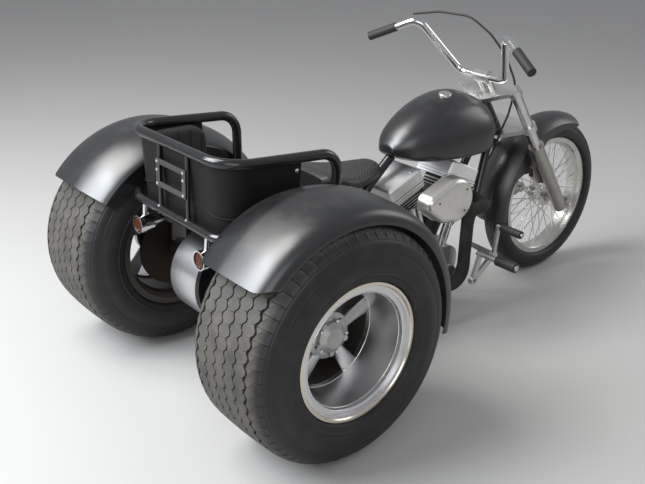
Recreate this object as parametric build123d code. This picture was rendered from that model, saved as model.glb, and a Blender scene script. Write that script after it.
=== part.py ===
from build123d import *
import math
import os

# A motorized trike with a raked fork, an open V-twin engine and a box seat between two wide rear wheels.
# Millimetres. X is to the rider's right, Y forward from the rear axle, Z up from the floor.

# Running gear
WHEELBASE = 1620
REAR_TYRE_R = 362
REAR_TYRE_W = 356
REAR_RIM_R = 190.5
REAR_RIM_W = 319
REAR_FLANGE_R = REAR_RIM_R + 20.5
REAR_WHEEL_X = 475
FRONT_TYRE_R = 331
FRONT_TYRE_W = 104
FRONT_RIM_R = 241.3
FRONT_RIM_W = 74
FRONT_FLANGE_R = FRONT_RIM_R + 15.2
FLANGE_T = 4
TYRE_WALL = 12

# Steering
RAKE = 36
UPPER_TREE_Y = WHEELBASE - 423
UPPER_TREE_Z = 868
UPPER_TREE_DROP = 20
LOWER_TREE_DROP = 211
FORK_OFFSET = 60
FORK_HALF = 125
FORK_TUBE_R = 20.5
SLIDER_R = 27

# Frame tubes
BACKBONE_R = 17.5
FRAME_TUBE_R = 16
STAY_R = 14
RAIL_Z = 130
RAIL_X = 105
STAY_X = 165
AXLE_TUBE_R = 38
SHAFT_R = 16
NECK_R = 29

# Fits
RUNNING_GAP = 0.05
SEAT_GAP = 0.3
MOVING_GAP = 6

# Engine
CRANK_Y = 860
CRANK_Z = 215
V_HALF_ANGLE = 22.5
CASE_HALF = 88

# Body
FENDER_T = 3
BOX_FLOOR_Z = REAR_TYRE_R + 238
BOX_TOP_Z = BOX_FLOOR_Z + 224
RAIL_TUBE_R = 16
RAIL_TUBE_X = 268
TUB_WALL = 3

LENGTH = REAR_TYRE_R + WHEELBASE + FRONT_TYRE_R
TO_ROW_FRAME = Pos(0, REAR_TYRE_R - LENGTH / 2, 0)


# Helpers for forms that repeat

def solids_of(*shapes):
    """One compound that holds every solid of the given shapes."""
    return Compound([solid for shape in shapes for solid in shape.solids()])


def mirrored_pair(shape):
    """A right-hand piece and its left-hand twin."""
    return solids_of(shape, mirror(shape, about=Plane.YZ))


def tube(points, radius, bend=None, bore=0):
    """A round bar or tube along straight runs, joined by tangent bends."""
    path = Line(*points) if bend is None else FilletPolyline(*points, radius=bend)
    section = Circle(radius) - Circle(bore) if bore else Circle(radius)
    return sweep(Plane(path @ 0, z_dir=path % 0) * section, path=path)


def rod(start, end, radius):
    """A straight round bar between two points."""
    axis = Vector(*end) - Vector(*start)
    plane = Plane(origin=start, z_dir=axis)
    return plane * extrude(Circle(radius), amount=axis.length)


def outline(points):
    """A closed flat face through a few corner points."""
    return make_face(Polyline(*points, close=True))


def turned(points, arc=360, start=0):
    """A body of revolution about X from (x, radius) corners, starting at an angle above forward."""
    return Rot(X=start) * revolve(outline(points), axis=Axis.X, revolution_arc=arc)


def side_slab(points, low_x, high_x):
    """A slab between two X planes, cut to an outline of (y, z) corners."""
    face = Plane.YZ * outline(points)
    return Pos(low_x, 0, 0) * extrude(face, amount=high_x - low_x, dir=(1, 0, 0))


# Rear wheels

def tyre(radius, width, rim_r, rim_w, flange_r, tread, shoulder, wall):
    """A tyre of arcs, open towards its rim; tread and shoulder are (half width, drop) pairs."""
    half = width / 2
    bead = rim_w / 2 - FLANGE_T - 1
    bore = rim_r + SEAT_GAP
    bead_top = (bead, flange_r + 2)
    side_low = (half - 0.25 * (half - bead), flange_r + 8)
    side_high = (shoulder[0], radius - shoulder[1])
    widest = (half, (side_low[1] + side_high[1]) / 2)
    tread_half = tread[0]
    tread_edge = (tread_half, radius - tread[1])
    mid_shoulder = (
        (side_high[0] + tread_edge[0]) / 2 + 0.15 * shoulder[1],
        (side_high[1] + tread_edge[1]) / 2 + 0.15 * shoulder[1],
    )
    inner_side = (half - wall, widest[1])
    cavity_top = radius - wall - 4

    def flip(point):
        return (-point[0], point[1])

    edges = [
        Polyline((bead, bore), bead_top, side_low),
        ThreePointArc(side_low, widest, side_high),
        ThreePointArc(side_high, mid_shoulder, tread_edge),
        ThreePointArc(tread_edge, (0, radius), flip(tread_edge)),
        ThreePointArc(flip(tread_edge), flip(mid_shoulder), flip(side_high)),
        ThreePointArc(flip(side_high), flip(widest), flip(side_low)),
        Polyline(flip(side_low), flip(bead_top), (-bead, bore)),
        Polyline(
            (-bead, bore),
            (-bead + wall, bore),
            (-bead + wall, flange_r + 4),
            flip(inner_side),
            (-tread_half + wall, cavity_top),
            (tread_half - wall, cavity_top),
            inner_side,
            (bead - wall, flange_r + 4),
            (bead - wall, bore),
            (bead, bore),
        ),
    ]
    return revolve(make_face(edges), axis=Axis.X)


GROOVE_XS = (-111, -66, -22, 22, 66, 111)
GROOVE_HALF = 3.5
GROOVE_DEPTH = 9


def rear_tyre():
    """The wide rear tyre, about its own axle, with six grooves round its tread."""
    rim = (REAR_RIM_R, REAR_RIM_W, REAR_FLANGE_R)
    body = tyre(REAR_TYRE_R, REAR_TYRE_W, *rim, (118, 4), (166, 57), TYRE_WALL)
    low = REAR_TYRE_R - GROOVE_DEPTH
    high = REAR_TYRE_R + 5
    for x in GROOVE_XS:
        left, right = x - GROOVE_HALF, x + GROOVE_HALF
        body -= turned([(left, low), (right, low), (right, high), (left, high)])
    return body


SPOKES = 5
SPOKE_FACE_X = 30
SPOKE_T = 22
SPOKE_ROOT_HALF = 17
SPOKE_TIP_HALF = 28
RING_X = 20
RING_R = REAR_RIM_R - 25.5
BARREL_R = REAR_RIM_R - 18.5
BARREL_WALL = 8
HUB_DISC_R = 72
HUB_BORE_R = 30
CAP_R = 48


def spoke_section(along, half, front):
    """A spoke's section at a distance from the axle: flat behind, rounded in front."""
    back = SPOKE_FACE_X - SPOKE_T
    plane = Plane(origin=(0, along, 0), x_dir=(0, 0, 1), z_dir=(0, 1, 0))
    return plane * make_face([
        Line((-half, back), (half, back)),
        Line((half, back), (half, back + 5)),
        ThreePointArc((half, back + 5), (0, front), (-half, back + 5)),
        Line((-half, back + 5), (-half, back)),
    ])


def rear_wheel():
    """A deep-dish five-spoke wheel: stepped barrel, rounded spokes and hub disc in one casting."""
    edge = REAR_RIM_W / 2
    seat = REAR_RIM_R
    well = BARREL_R + BARREL_WALL
    barrel = turned([
        (edge, REAR_FLANGE_R), (edge - FLANGE_T, REAR_FLANGE_R), (edge - FLANGE_T, seat),
        (edge - 30, seat), (edge - 38, well), (38 - edge, well), (30 - edge, seat),
        (FLANGE_T - edge, seat), (FLANGE_T - edge, REAR_FLANGE_R),
        (-edge, REAR_FLANGE_R), (-edge, seat), (10 - edge, seat - 7), (26 - edge, seat - 9),
        (40 - edge, BARREL_R), (RING_X - 22, BARREL_R), (RING_X - 18, RING_R), (RING_X, RING_R),
        (edge - 26, seat - 15), (edge - 13, seat - 12), (edge - 11, seat + 5), (edge, REAR_FLANGE_R - 8),
    ])
    hub = turned([
        (SPOKE_FACE_X + 4, HUB_BORE_R), (SPOKE_FACE_X + 4, HUB_DISC_R - 14), (SPOKE_FACE_X - 4, HUB_DISC_R),
        (SPOKE_FACE_X - SPOKE_T - 4, HUB_DISC_R), (SPOKE_FACE_X - SPOKE_T - 4, HUB_BORE_R),
    ])
    spoke = loft([
        spoke_section(HUB_DISC_R - 16, SPOKE_ROOT_HALF, SPOKE_FACE_X + 2),
        spoke_section(RING_R + 3, SPOKE_TIP_HALF, RING_X + 1),
    ])
    wheel = barrel + hub
    for k in range(SPOKES):
        wheel += Rot(X=90 + k * 360 / SPOKES) * spoke
    return wheel


def hub_cap():
    """The bevelled centre cap that fills the wheel's bore, held by five eared screws."""
    front = SPOKE_FACE_X + 4
    cap = turned([
        (front - 20, 0), (front - 20, HUB_BORE_R - SEAT_GAP), (front, HUB_BORE_R - SEAT_GAP), (front, CAP_R),
        (front + 9, CAP_R), (front + 21, CAP_R - 17), (front + 21, 0),
    ])
    for k in range(SPOKES):
        ear = Pos(front + 5, CAP_R + 4, 0) * Rot(Y=90) * Cylinder(9, 10)
        cap += Rot(X=126 + k * 360 / SPOKES) * ear
    return cap


DISC_X = 335
DISC_R = 140
DISC_T = 8
HOUSING_END_X = 320


def axle_hub():
    """Axle shaft, wheel flange and brake disc of one side, as one turned piece about the axle."""
    flange = REAR_WHEEL_X + SPOKE_FACE_X - SPOKE_T - 4
    hat = 55
    low = DISC_X - DISC_T / 2
    return turned([
        (HOUSING_END_X - 60, 0), (HOUSING_END_X - 60, SHAFT_R), (low - 2, SHAFT_R), (low - 2, hat),
        (low, hat), (low, DISC_R), (low + DISC_T, DISC_R), (low + DISC_T, hat), (flange - 10, hat),
        (flange - 10, 64),
        (flange, 64), (flange, HUB_BORE_R - SEAT_GAP), (flange + 8, HUB_BORE_R - SEAT_GAP), (flange + 8, 0),
    ])


# Rear axle and final drive

DRUM_R = 150
DRUM_LEFT_X = -120
DRUM_RIGHT_X = 26
DRUM_WALL = 5
PLATE_T = 8
SPROCKET_X = -136
SPROCKET_R = 104
GEARBOX_SPROCKET_R = 44
GEARBOX_Y = 585
GEARBOX_Z = 235
CHAIN_W = 18
CHAIN_T = 14


def axle_height(shape):
    """Moves a piece made about X onto the rear axle."""
    return Pos(0, 0, REAR_TYRE_R) * shape


def rear_axle_housing():
    """The two axle tubes, each bored at its end for the axle shaft."""
    def one(inner_x):
        return turned([
            (inner_x, 0), (inner_x, AXLE_TUBE_R), (HOUSING_END_X, AXLE_TUBE_R),
            (HOUSING_END_X, SHAFT_R + RUNNING_GAP), (HOUSING_END_X - 64, SHAFT_R + RUNNING_GAP),
            (HOUSING_END_X - 64, 0),
        ])
    left = mirror(one(-DRUM_LEFT_X + PLATE_T * 5), about=Plane.YZ)
    return axle_height(solids_of(one(DRUM_RIGHT_X + PLATE_T), left))


def differential_drum():
    """The bright sheet drum round the differential, with a slotted tab on top."""
    drum = turned([
        (DRUM_LEFT_X, 0), (DRUM_LEFT_X, DRUM_R), (DRUM_RIGHT_X, DRUM_R), (DRUM_RIGHT_X, DRUM_R - DRUM_WALL),
        (DRUM_LEFT_X + DRUM_WALL, DRUM_R - DRUM_WALL), (DRUM_LEFT_X + DRUM_WALL, 0),
    ])
    return axle_height(drum)


def drum_side_plate():
    """The dark plate that closes the drum's right side."""
    return axle_height(turned([
        (DRUM_RIGHT_X, 0), (DRUM_RIGHT_X, DRUM_R - 2), (DRUM_RIGHT_X + PLATE_T, DRUM_R - 8),
        (DRUM_RIGHT_X + PLATE_T, 0),
    ]))


def chain_loop(inset, half_width):
    """The closed band between the two sprockets, at a distance inside the chain's outer edge."""
    ends = [(0, REAR_TYRE_R, SPROCKET_R), (GEARBOX_Y, GEARBOX_Z, GEARBOX_SPROCKET_R)]
    discs = [Pos(y, z) * Circle(r + CHAIN_T / 2 - inset) for y, z, r in ends]
    face = make_hull(discs[0].edges() + discs[1].edges())
    band = extrude(Plane.YZ * face, amount=2 * half_width, dir=(1, 0, 0))
    return Pos(SPROCKET_X - half_width, 0, 0) * band


def drive_chain():
    """The roller chain and its two sprockets."""
    band = chain_loop(0, CHAIN_W / 2) - chain_loop(CHAIN_T, CHAIN_W / 2 + 1)
    rear = Pos(SPROCKET_X, 0, REAR_TYRE_R) * Rot(Y=90) * extrude(Circle(SPROCKET_R), amount=3.5, both=True)
    front = Pos(SPROCKET_X, GEARBOX_Y, GEARBOX_Z) * Rot(Y=90) * extrude(
        Circle(GEARBOX_SPROCKET_R), amount=3.5, both=True)
    carrier = rod((DRUM_LEFT_X, 0, REAR_TYRE_R), (SPROCKET_X - 10, 0, REAR_TYRE_R), 50)
    shaft = rod((-80, GEARBOX_Y, GEARBOX_Z), (SPROCKET_X - 12, GEARBOX_Y, GEARBOX_Z), 15)
    return band + rear + front + carrier + shaft


def brake_callipers():
    """Two callipers that straddle the rear discs, each on an arm from its axle tube."""
    half = 28
    body = Pos(DISC_X, 0, REAR_TYRE_R + DISC_R - 12) * Box(2 * half, 90, 56)
    body = fillet(body.edges().filter_by(Axis.X), 12)
    slot = Box(DISC_T + 2 * MOVING_GAP, 100, 2 * (DISC_R + MOVING_GAP) - 60)
    slot = Pos(DISC_X, 0, REAR_TYRE_R + 30) * slot
    arm = Pos(HOUSING_END_X - 9, 0, REAR_TYRE_R + AXLE_TUBE_R + 40) * Box(12, 50, 92)
    post = rod((0, 0, REAR_TYRE_R), (HOUSING_END_X, 0, REAR_TYRE_R), AXLE_TUBE_R)
    return mirrored_pair((body + arm) - slot - post)


# Frame

DOWN = Vector(0, math.sin(math.radians(RAKE)), -math.cos(math.radians(RAKE)))
AHEAD = Vector(0, math.cos(math.radians(RAKE)), math.sin(math.radians(RAKE)))
LEG_TOP = Vector(0, UPPER_TREE_Y, UPPER_TREE_Z)
HEAD_TOP = LEG_TOP - AHEAD * FORK_OFFSET


def on_fork(along, ahead=0, across=0):
    """A point given by its distances down the steering head, ahead of it and to the right."""
    return HEAD_TOP + DOWN * along + AHEAD * ahead + Vector(across, 0, 0)


TREE_T = 18
LOWER_TREE_T = 30
NECK_TOP = UPPER_TREE_DROP + TREE_T / 2 + MOVING_GAP
NECK_BOTTOM = LOWER_TREE_DROP - LOWER_TREE_T / 2 - MOVING_GAP
STEM_R = 12.5
SEAT_JUNCTION = (0, 585, 548)
POST_FOOT = (0, 505, RAIL_Z)
NECK_JOINT = on_fork(0.55 * LOWER_TREE_DROP)


def frame_spine():
    """Head tube, backbone under the tank, seat post and seat rail, welded in one piece."""
    bore = rod(on_fork(-50), on_fork(LOWER_TREE_DROP + 50), STEM_R + RUNNING_GAP)
    backbone = tube([tuple(NECK_JOINT), (0, 720, 672), SEAT_JUNCTION, POST_FOOT], BACKBONE_R, [60, 60])
    cross = rod((-RAIL_X, POST_FOOT[1], RAIL_Z), (RAIL_X, POST_FOOT[1], RAIL_Z), STAY_R)
    seat_rail = tube([(0, 612, 578), (0, 560, 596), (0, 330, 584), (0, BOX_CROSS_Y + 8, BOX_CROSS_Z - 6)], 9,
                     [30, 60])
    return (rod(on_fork(NECK_TOP), on_fork(NECK_BOTTOM), NECK_R) + backbone + cross + seat_rail) - bore


RAIL_FRONT_Y = 1010
RAIL_JOINT_Y = 900


def frame_downtubes():
    """Two tubes from the head tube down and round to the lower rails."""
    foot = [(RAIL_X, RAIL_FRONT_Y, RAIL_Z), (RAIL_X, RAIL_JOINT_Y, RAIL_Z)]
    right = tube([tuple(on_fork(0.64 * LOWER_TREE_DROP, 0, 20)), *foot], FRAME_TUBE_R, [80])
    right -= rod(on_fork(NECK_TOP), on_fork(NECK_BOTTOM), NECK_R)
    keep = Pos(500, 0, 0) * Box(999, 4000, 4000)
    return mirrored_pair((right & keep) - rod(on_fork(-50), on_fork(LOWER_TREE_DROP + 50), NECK_R))


def frame_lower_rails():
    """Two rails under the engine that rise to the axle tubes."""
    path = [(RAIL_X, RAIL_JOINT_Y, RAIL_Z), (RAIL_X, 540, RAIL_Z), (STAY_X, 350, RAIL_Z + 30),
            (STAY_X, 0, REAR_TYRE_R)]
    right = tube(path, FRAME_TUBE_R, [120, 120])
    return mirrored_pair(right - rear_axle_housing() - frame_spine())


def frame_rear_stays():
    """Two stays from the seat junction to the axle tubes."""
    path = [(BACKBONE_R, 560, 520), (STAY_X, 400, 478), (STAY_X, 0, REAR_TYRE_R)]
    right = tube(path, STAY_R, [90])
    return mirrored_pair(right - rear_axle_housing() - frame_spine() - frame_lower_rails())


BOX_CROSS_Y = 213
BOX_CROSS_Z = REAR_TYRE_R + 265
BOX_STRUT_Y = 20
POST_LOW_Z = REAR_TYRE_R + 62
POST_R = 12
FENDER_SKIRT_X = 281


def box_subframe():
    """Cross tube and four posts that carry the box, the fenders and the seat rail."""
    end = FENDER_SKIRT_X - FENDER_T
    cross = rod((-end, BOX_CROSS_Y, BOX_CROSS_Z), (end, BOX_CROSS_Y, BOX_CROSS_Z), STAY_R)
    front = rod((STAY_X, BOX_CROSS_Y, POST_LOW_Z), (STAY_X, BOX_CROSS_Y, BOX_CROSS_Z), POST_R)
    rear = rod((STAY_X, BOX_STRUT_Y, REAR_TYRE_R), (STAY_X, BOX_STRUT_Y, BOX_FLOOR_Z), POST_R)
    for other in (frame_rear_stays(), frame_lower_rails(), rear_axle_housing()):
        front -= other
        rear -= other
    front -= cross
    return solids_of(cross - frame_spine(), mirrored_pair(front), mirrored_pair(rear))


# Body

FENDER_AXIS_Y = 8
FENDER_START = -10
FENDER_ARC = 152.7
FENDER_EDGE_R = REAR_TYRE_R + 5
FENDER_CROWN_R = REAR_TYRE_R + 61
FENDER_EDGE_X = 611
FENDER_CROWN_X = 431
FENDER_CORNER_R = 52
SKIRT_LOW_R = REAR_TYRE_R - 56


def fender_section(grow):
    """Half of the fender's section: full outer shoulder, crown, flat inner slope and skirt."""
    outer = FENDER_EDGE_X - grow
    inner = FENDER_SKIRT_X - FENDER_T + grow
    middle = FENDER_CROWN_X
    low = FENDER_EDGE_R
    crown = FENDER_CROWN_R - grow
    half = outer - middle
    rise = crown - low
    slope = middle - inner
    return [
        Line((outer, low - 1), (outer, low)),
        Bezier((outer, low), (outer, low + 0.8 * rise), (middle + 0.8 * half, crown), (middle, crown)),
        Bezier((middle, crown), (middle - 0.35 * slope, crown), (inner, low + 0.3 * rise), (inner, low)),
        Line((inner, low), (inner, SKIRT_LOW_R)),
    ]


def rear_fender():
    """The right fender: a thin shell turned about the axle, open below, its lower rear corner round."""
    outer = fender_section(0)
    inner = fender_section(FENDER_T)
    face = make_face(Curve() + outer + inner + [
        Line((FENDER_EDGE_X, FENDER_EDGE_R - 1), (FENDER_EDGE_X - FENDER_T, FENDER_EDGE_R - 1)),
        Line((FENDER_SKIRT_X - FENDER_T, SKIRT_LOW_R), (FENDER_SKIRT_X, SKIRT_LOW_R)),
    ])
    shell = Rot(X=FENDER_START) * revolve(face, axis=Axis.X, revolution_arc=FENDER_ARC)
    radius = FENDER_CORNER_R
    square = Pos(FENDER_EDGE_X - radius / 2 + 5, radius / 2 - 5) * Rectangle(radius + 10, radius + 10)
    corner = extrude(square - Pos(FENDER_EDGE_X - radius, radius) * Circle(radius), amount=200)
    shell -= Rot(X=FENDER_START + FENDER_ARC - 90) * Pos(0, 0, FENDER_EDGE_R - 80) * corner
    return Pos(0, FENDER_AXIS_Y, REAR_TYRE_R) * shell


BOX_HALF_TOP = 268
BOX_REAR_Y = -196
BOX_FRONT_Y = 72
BOX_TAPER = 4.5
BOX_CORNER_R = 78


def tub_block(inset, low, high):
    """A tapered block with round rear corners, wider at the top."""
    lean = math.tan(math.radians(BOX_TAPER)) * (BOX_TOP_Z - low)
    half = BOX_HALF_TOP - lean - inset
    rear = BOX_REAR_Y + lean + inset
    front = BOX_FRONT_Y + 260
    plan = Pos(0, (front + rear) / 2) * RectangleRounded(2 * half, front - rear, BOX_CORNER_R - inset)
    return Pos(0, 0, low) * extrude(plan, amount=high - low, taper=-BOX_TAPER)


RAIL_Y = -200
RAIL_LEG_Y = 212
RAIL_REAR_Z = BOX_FLOOR_Z + 240
RAIL_FRONT_Z = BOX_FLOOR_Z + 217


def box_body():
    """The hollow box between the fenders, round at the rear, open in front, its top edge under the rail."""
    tub = tub_block(0, BOX_FLOOR_Z, BOX_TOP_Z) - tub_block(TUB_WALL, BOX_FLOOR_Z + TUB_WALL, BOX_TOP_Z + 1)
    cut = Pos(0, BOX_FRONT_Y + 250, BOX_FLOOR_Z + 100 + TUB_WALL) * Box(700, 500, 400)
    drop = RAIL_TUBE_R + SEAT_GAP
    rake = (RAIL_REAR_Z - RAIL_FRONT_Z) / (RAIL_LEG_Y - RAIL_Y)
    front_z = RAIL_REAR_Z - rake * (BOX_FRONT_Y - RAIL_Y)
    under = side_slab([(RAIL_Y - 40, BOX_FLOOR_Z - 10), (BOX_FRONT_Y, BOX_FLOOR_Z - 10),
                       (BOX_FRONT_Y, front_z - drop), (RAIL_Y, RAIL_REAR_Z - drop),
                       (RAIL_Y - 40, RAIL_REAR_Z - drop)], -400, 400)
    return (tub & under) - cut


def box_rail():
    """The round rail over the box, with a bent leg down to the cross tube on each side."""
    x = RAIL_TUBE_X
    low = FENDER_SKIRT_X - FENDER_T - RAIL_TUBE_R - 4
    path = [
        (-low, BOX_CROSS_Y, BOX_CROSS_Z), (-x, RAIL_LEG_Y, RAIL_FRONT_Z), (-x, RAIL_Y, RAIL_REAR_Z),
        (x, RAIL_Y, RAIL_REAR_Z), (x, RAIL_LEG_Y, RAIL_FRONT_Z), (low, BOX_CROSS_Y, BOX_CROSS_Z),
    ]
    return tube(path, RAIL_TUBE_R, [66, 95, 95, 66]) - box_subframe()


LOWER_BAR_Z = BOX_FLOOR_Z + 16
STRUT_X = 78
PLATE_SPACING_X = 146
PLATE_SPACING_Z = 70
PLATE_HOLE_R = 3.2
PLATE_Z = BOX_FLOOR_Z + 140


def lower_bar():
    """The bar below the box, its two upright struts and the bare frame for a number plate."""
    end = FENDER_SKIRT_X - FENDER_T - SEAT_GAP
    bar = tube([(-end - 20, -156, LOWER_BAR_Z), (-215, RAIL_Y, LOWER_BAR_Z), (215, RAIL_Y, LOWER_BAR_Z),
                (end + 20, -156, LOWER_BAR_Z)], STAY_R, [60, 60])
    for side in (-1, 1):
        bar += rod((side * STRUT_X, RAIL_Y, LOWER_BAR_Z), (side * STRUT_X, RAIL_Y, RAIL_REAR_Z - 4), 7)
    height = PLATE_SPACING_Z + 20
    width = PLATE_SPACING_X + 20
    plate = Pos(0, RAIL_Y - 9, PLATE_Z) * (Box(width, 4, height) - Box(width - 40, 6, height - 36))
    for x in (-PLATE_SPACING_X / 2, PLATE_SPACING_X / 2):
        for z in (-PLATE_SPACING_Z / 2, PLATE_SPACING_Z / 2):
            plate -= Pos(x, RAIL_Y - 9, PLATE_Z + z) * Rot(X=90) * Cylinder(PLATE_HOLE_R, 40)
    reach = Pos(0, RAIL_Y, BOX_FLOOR_Z) * Box(2 * end, 400, 800)
    return ((bar + plate) & reach) - box_rail() - tub_block(0, BOX_FLOOR_Z, BOX_TOP_Z)


def box_cushions():
    """Padding inside the box: a seat pad, a back pad and two side pads."""
    top = BOX_FLOOR_Z + 182
    gap = 2
    room = tub_block(TUB_WALL + SEAT_GAP, BOX_FLOOR_Z + TUB_WALL + SEAT_GAP, top)
    room &= Pos(0, -60, 700) * Box(700, 260, 400)
    core = tub_block(TUB_WALL + 34, BOX_FLOOR_Z, BOX_TOP_Z)
    ring = room - core
    seat_top = BOX_FLOOR_Z + 68
    walls = ring & (Pos(0, 0, seat_top + gap + 200) * Box(700, 700, 400))
    seat_pad = room & (Pos(0, 0, seat_top - 200) * Box(700, 700, 400))
    side = walls & (Pos(0, 0, 700) * Box(700, 700, 400))
    return solids_of(side, seat_pad)


LAMP_X = 178
LAMP_R = 30
LAMP_LENGTH = 104
LAMP_Y = -231
LAMP_Z = LOWER_BAR_Z - 77


def tail_lamps():
    """Two bullet lamps with open rear ends, hung below the lower bar."""
    shell = turned([
        (0, LAMP_R - 3), (0, LAMP_R), (18, LAMP_R), (52, LAMP_R - 7), (84, LAMP_R - 20), (LAMP_LENGTH, 0),
        (22, 0), (22, LAMP_R - 3),
    ])
    lamp = Pos(LAMP_X, LAMP_Y, LAMP_Z) * Rot(Z=90) * shell
    stalk = rod((LAMP_X, RAIL_Y - 4, LAMP_Z + 20), (LAMP_X, RAIL_Y, LOWER_BAR_Z), 7)
    stalk -= rod((0, RAIL_Y, LOWER_BAR_Z), (LAMP_X + 20, RAIL_Y, LOWER_BAR_Z), STAY_R)
    return mirrored_pair(lamp + stalk)


# Tank and seat

# Sections of the tank: y, half width, bottom, widest height, top
TANK_SECTIONS = [
    (682, 42, 666, 690, 710),
    (742, 96, 650, 700, 775),
    (862, 139, 638, 712, 841),
    (992, 154, 634, 722, 862),
    (1092, 146, 638, 726, 830),
    (1134, 98, 660, 724, 784),
]


def tank_section(y, half, low, waist, top):
    """One cross-section of the tank: flat below, with straight flanks under a round top."""
    plane = Plane(origin=(0, y, 0), x_dir=(1, 0, 0), z_dir=(0, -1, 0))
    return plane * make_face([
        Line((-half * 0.86, low), (half * 0.86, low)),
        Line((half * 0.86, low), (half, waist)),
        ThreePointArc((half, waist), (0, top), (-half, waist)),
        Line((-half, waist), (-half * 0.86, low)),
    ])


def fuel_tank():
    """The teardrop tank, with a tunnel for the backbone and a round filler cap."""
    body = loft([tank_section(*row) for row in TANK_SECTIONS])
    gap = BACKBONE_R + SEAT_GAP
    neck_y, neck_z = NECK_JOINT.Y, NECK_JOINT.Z
    tunnel = [(neck_y, neck_z + gap), (713, 690), (560, 549), (560, 300), (neck_y, 300)]
    slot = side_slab(tunnel, -BACKBONE_R - 3, BACKBONE_R + 3)
    relief = rod(on_fork(-60), on_fork(LOWER_TREE_DROP), NECK_R + 12)
    cap = Pos(28, 930, 856) * Rot(X=-6, Y=8) * Cylinder(24, 26)
    return (body + cap) - slot - relief


SEAT_LOW = 596
# Sections of the saddle: y, half width, top at the middle, top at the edge
SEAT_SECTIONS = [
    (300, 118, 684, 678),
    (380, 142, 664, 662),
    (470, 118, 652, 646),
    (560, 78, 656, 650),
    (616, 50, 664, 656),
]


def seat():
    """The low solo saddle, broad behind and narrow in front."""
    faces = []
    for y, half, mid, edge in SEAT_SECTIONS:
        plane = Plane(origin=(0, y, 0), x_dir=(1, 0, 0), z_dir=(0, -1, 0))
        faces.append(plane * make_face([
            Line((-half + 14, SEAT_LOW + 4), (half - 14, SEAT_LOW + 4)),
            Line((half - 14, SEAT_LOW + 4), (half, SEAT_LOW + 30)),
            Line((half, SEAT_LOW + 30), (half - 12, edge)),
            ThreePointArc((half - 12, edge), (0, mid), (12 - half, edge)),
            Line((12 - half, edge), (-half, SEAT_LOW + 30)),
            Line((-half, SEAT_LOW + 30), (14 - half, SEAT_LOW + 4)),
        ]))
    return loft(faces) - frame_spine()


# Engine

def on_cylinder(side):
    """The frame of one cylinder, its Z along the bore; side 1 is the front cylinder."""
    return Pos(0, CRANK_Y, CRANK_Z) * Rot(X=-side * V_HALF_ANGLE)


BARREL_LOW = 100
FIN_LOW = 172
HEAD_LOW = 254
ROCKER_LOW = 334
ROCKER_TOP = 406
ROCKER_OUT = 9
FIN_R = 74
FIN_PITCH = 10
FIN_T = 4


def half_space(side):
    """The room on one cylinder's side of the middle of the V."""
    return Pos(0, CRANK_Y + side * (1000 + 1), 1000) * Box(1000, 2000, 2000)


def engine_cylinders():
    """Two finned barrels with their finned heads."""
    parts = []
    for side in (1, -1):
        barrel = Pos(0, 0, BARREL_LOW) * extrude(Circle(52), amount=HEAD_LOW - BARREL_LOW)
        for k in range(8):
            barrel += Pos(0, 0, FIN_LOW + k * FIN_PITCH) * extrude(Circle(FIN_R), amount=FIN_T)
        head = Pos(0, 0, HEAD_LOW) * extrude(RectangleRounded(110, 104, 20), amount=ROCKER_LOW - HEAD_LOW)
        for k in range(6):
            head += Pos(0, 0, HEAD_LOW + 4 + k * 12) * extrude(RectangleRounded(150, 150, 24), amount=5)
        parts.append((on_cylinder(side) * (barrel + head)) & half_space(side))
    return solids_of(*parts)


def rocker_boxes():
    """Two chamfered rocker covers, each on a wider base."""
    parts = []
    for side in (1, -1):
        middle = Pos(0, side * ROCKER_OUT, ROCKER_LOW)
        base = middle * extrude(RectangleRounded(176, 170, 14), amount=20)
        height = ROCKER_TOP - ROCKER_LOW - 20
        cover = middle * Pos(0, 0, 20) * extrude(RectangleRounded(172, 166, 12), amount=height)
        cover = chamfer(cover.faces().sort_by(Axis.Z)[-1].edges(), 7)
        parts.append((on_cylinder(side) * (base + cover)) & half_space(side))
    return solids_of(*parts)


def crankcase():
    """The round crankcase with a deck for each cylinder and a ribbed cover on its right."""
    case = Pos(0, CRANK_Y, CRANK_Z) * Rot(Y=90) * Cylinder(100, 2 * CASE_HALF)
    for side in (1, -1):
        case += on_cylinder(side) * (Pos(0, 0, 70) * Box(130, 128, 90))
    for y in (-72, 64):
        case += Pos(0, CRANK_Y + y, RAIL_Z + FRAME_TUBE_R) * Box(2 * RAIL_X + 16, 34, 20)
    sump = Pos(0, CRANK_Y - 10, CRANK_Z - 60) * Box(2 * CASE_HALF - 16, 190, 60)
    cover = Pos(CASE_HALF + 18, CRANK_Y + 10, CRANK_Z + 20) * Rot(Y=90) * extrude(
        RectangleRounded(120, 190, 50), amount=18, both=True)
    timer_axis = (CRANK_Y + 54, CRANK_Z - 28)
    timer = rod((CASE_HALF + 30, *timer_axis), (CASE_HALF + 54, *timer_axis), 34)
    return (case + sump + cover + timer) - engine_cylinders() - frame_lower_rails() - frame_downtubes()


PUSHROD_X = 94


def pushrod_tubes():
    """Four bright tubes from the cam cover to the heads."""
    tubes = []
    for side in (1, -1):
        for spread in (34, 62):
            low = (PUSHROD_X, CRANK_Y + side * (spread - 6), CRANK_Z + 70)
            high_y = CRANK_Y + side * (112 + spread - 48)
            tubes.append(rod(low, (PUSHROD_X, high_y, CRANK_Z + 262), 9))
    blocks = crankcase()
    heads = engine_cylinders()
    return solids_of(*[piece - blocks - heads for piece in tubes])


AIR_X = 190
AIR_T = 60
AIR_BEVEL = 17
CARB_X = 100
CARB_Z = 506
MANIFOLD_Z = 496


def air_outline(grow):
    """The air cleaner's outline in side view, a teardrop round three circles."""
    circles = [(700, 536, 27), (806, 533, 71), (765, 515, 48)]
    discs = [Pos(y, z) * Circle(r + grow) for y, z, r in circles]
    return Plane.YZ * make_hull([edge for disc in discs for edge in disc.edges()])


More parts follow.
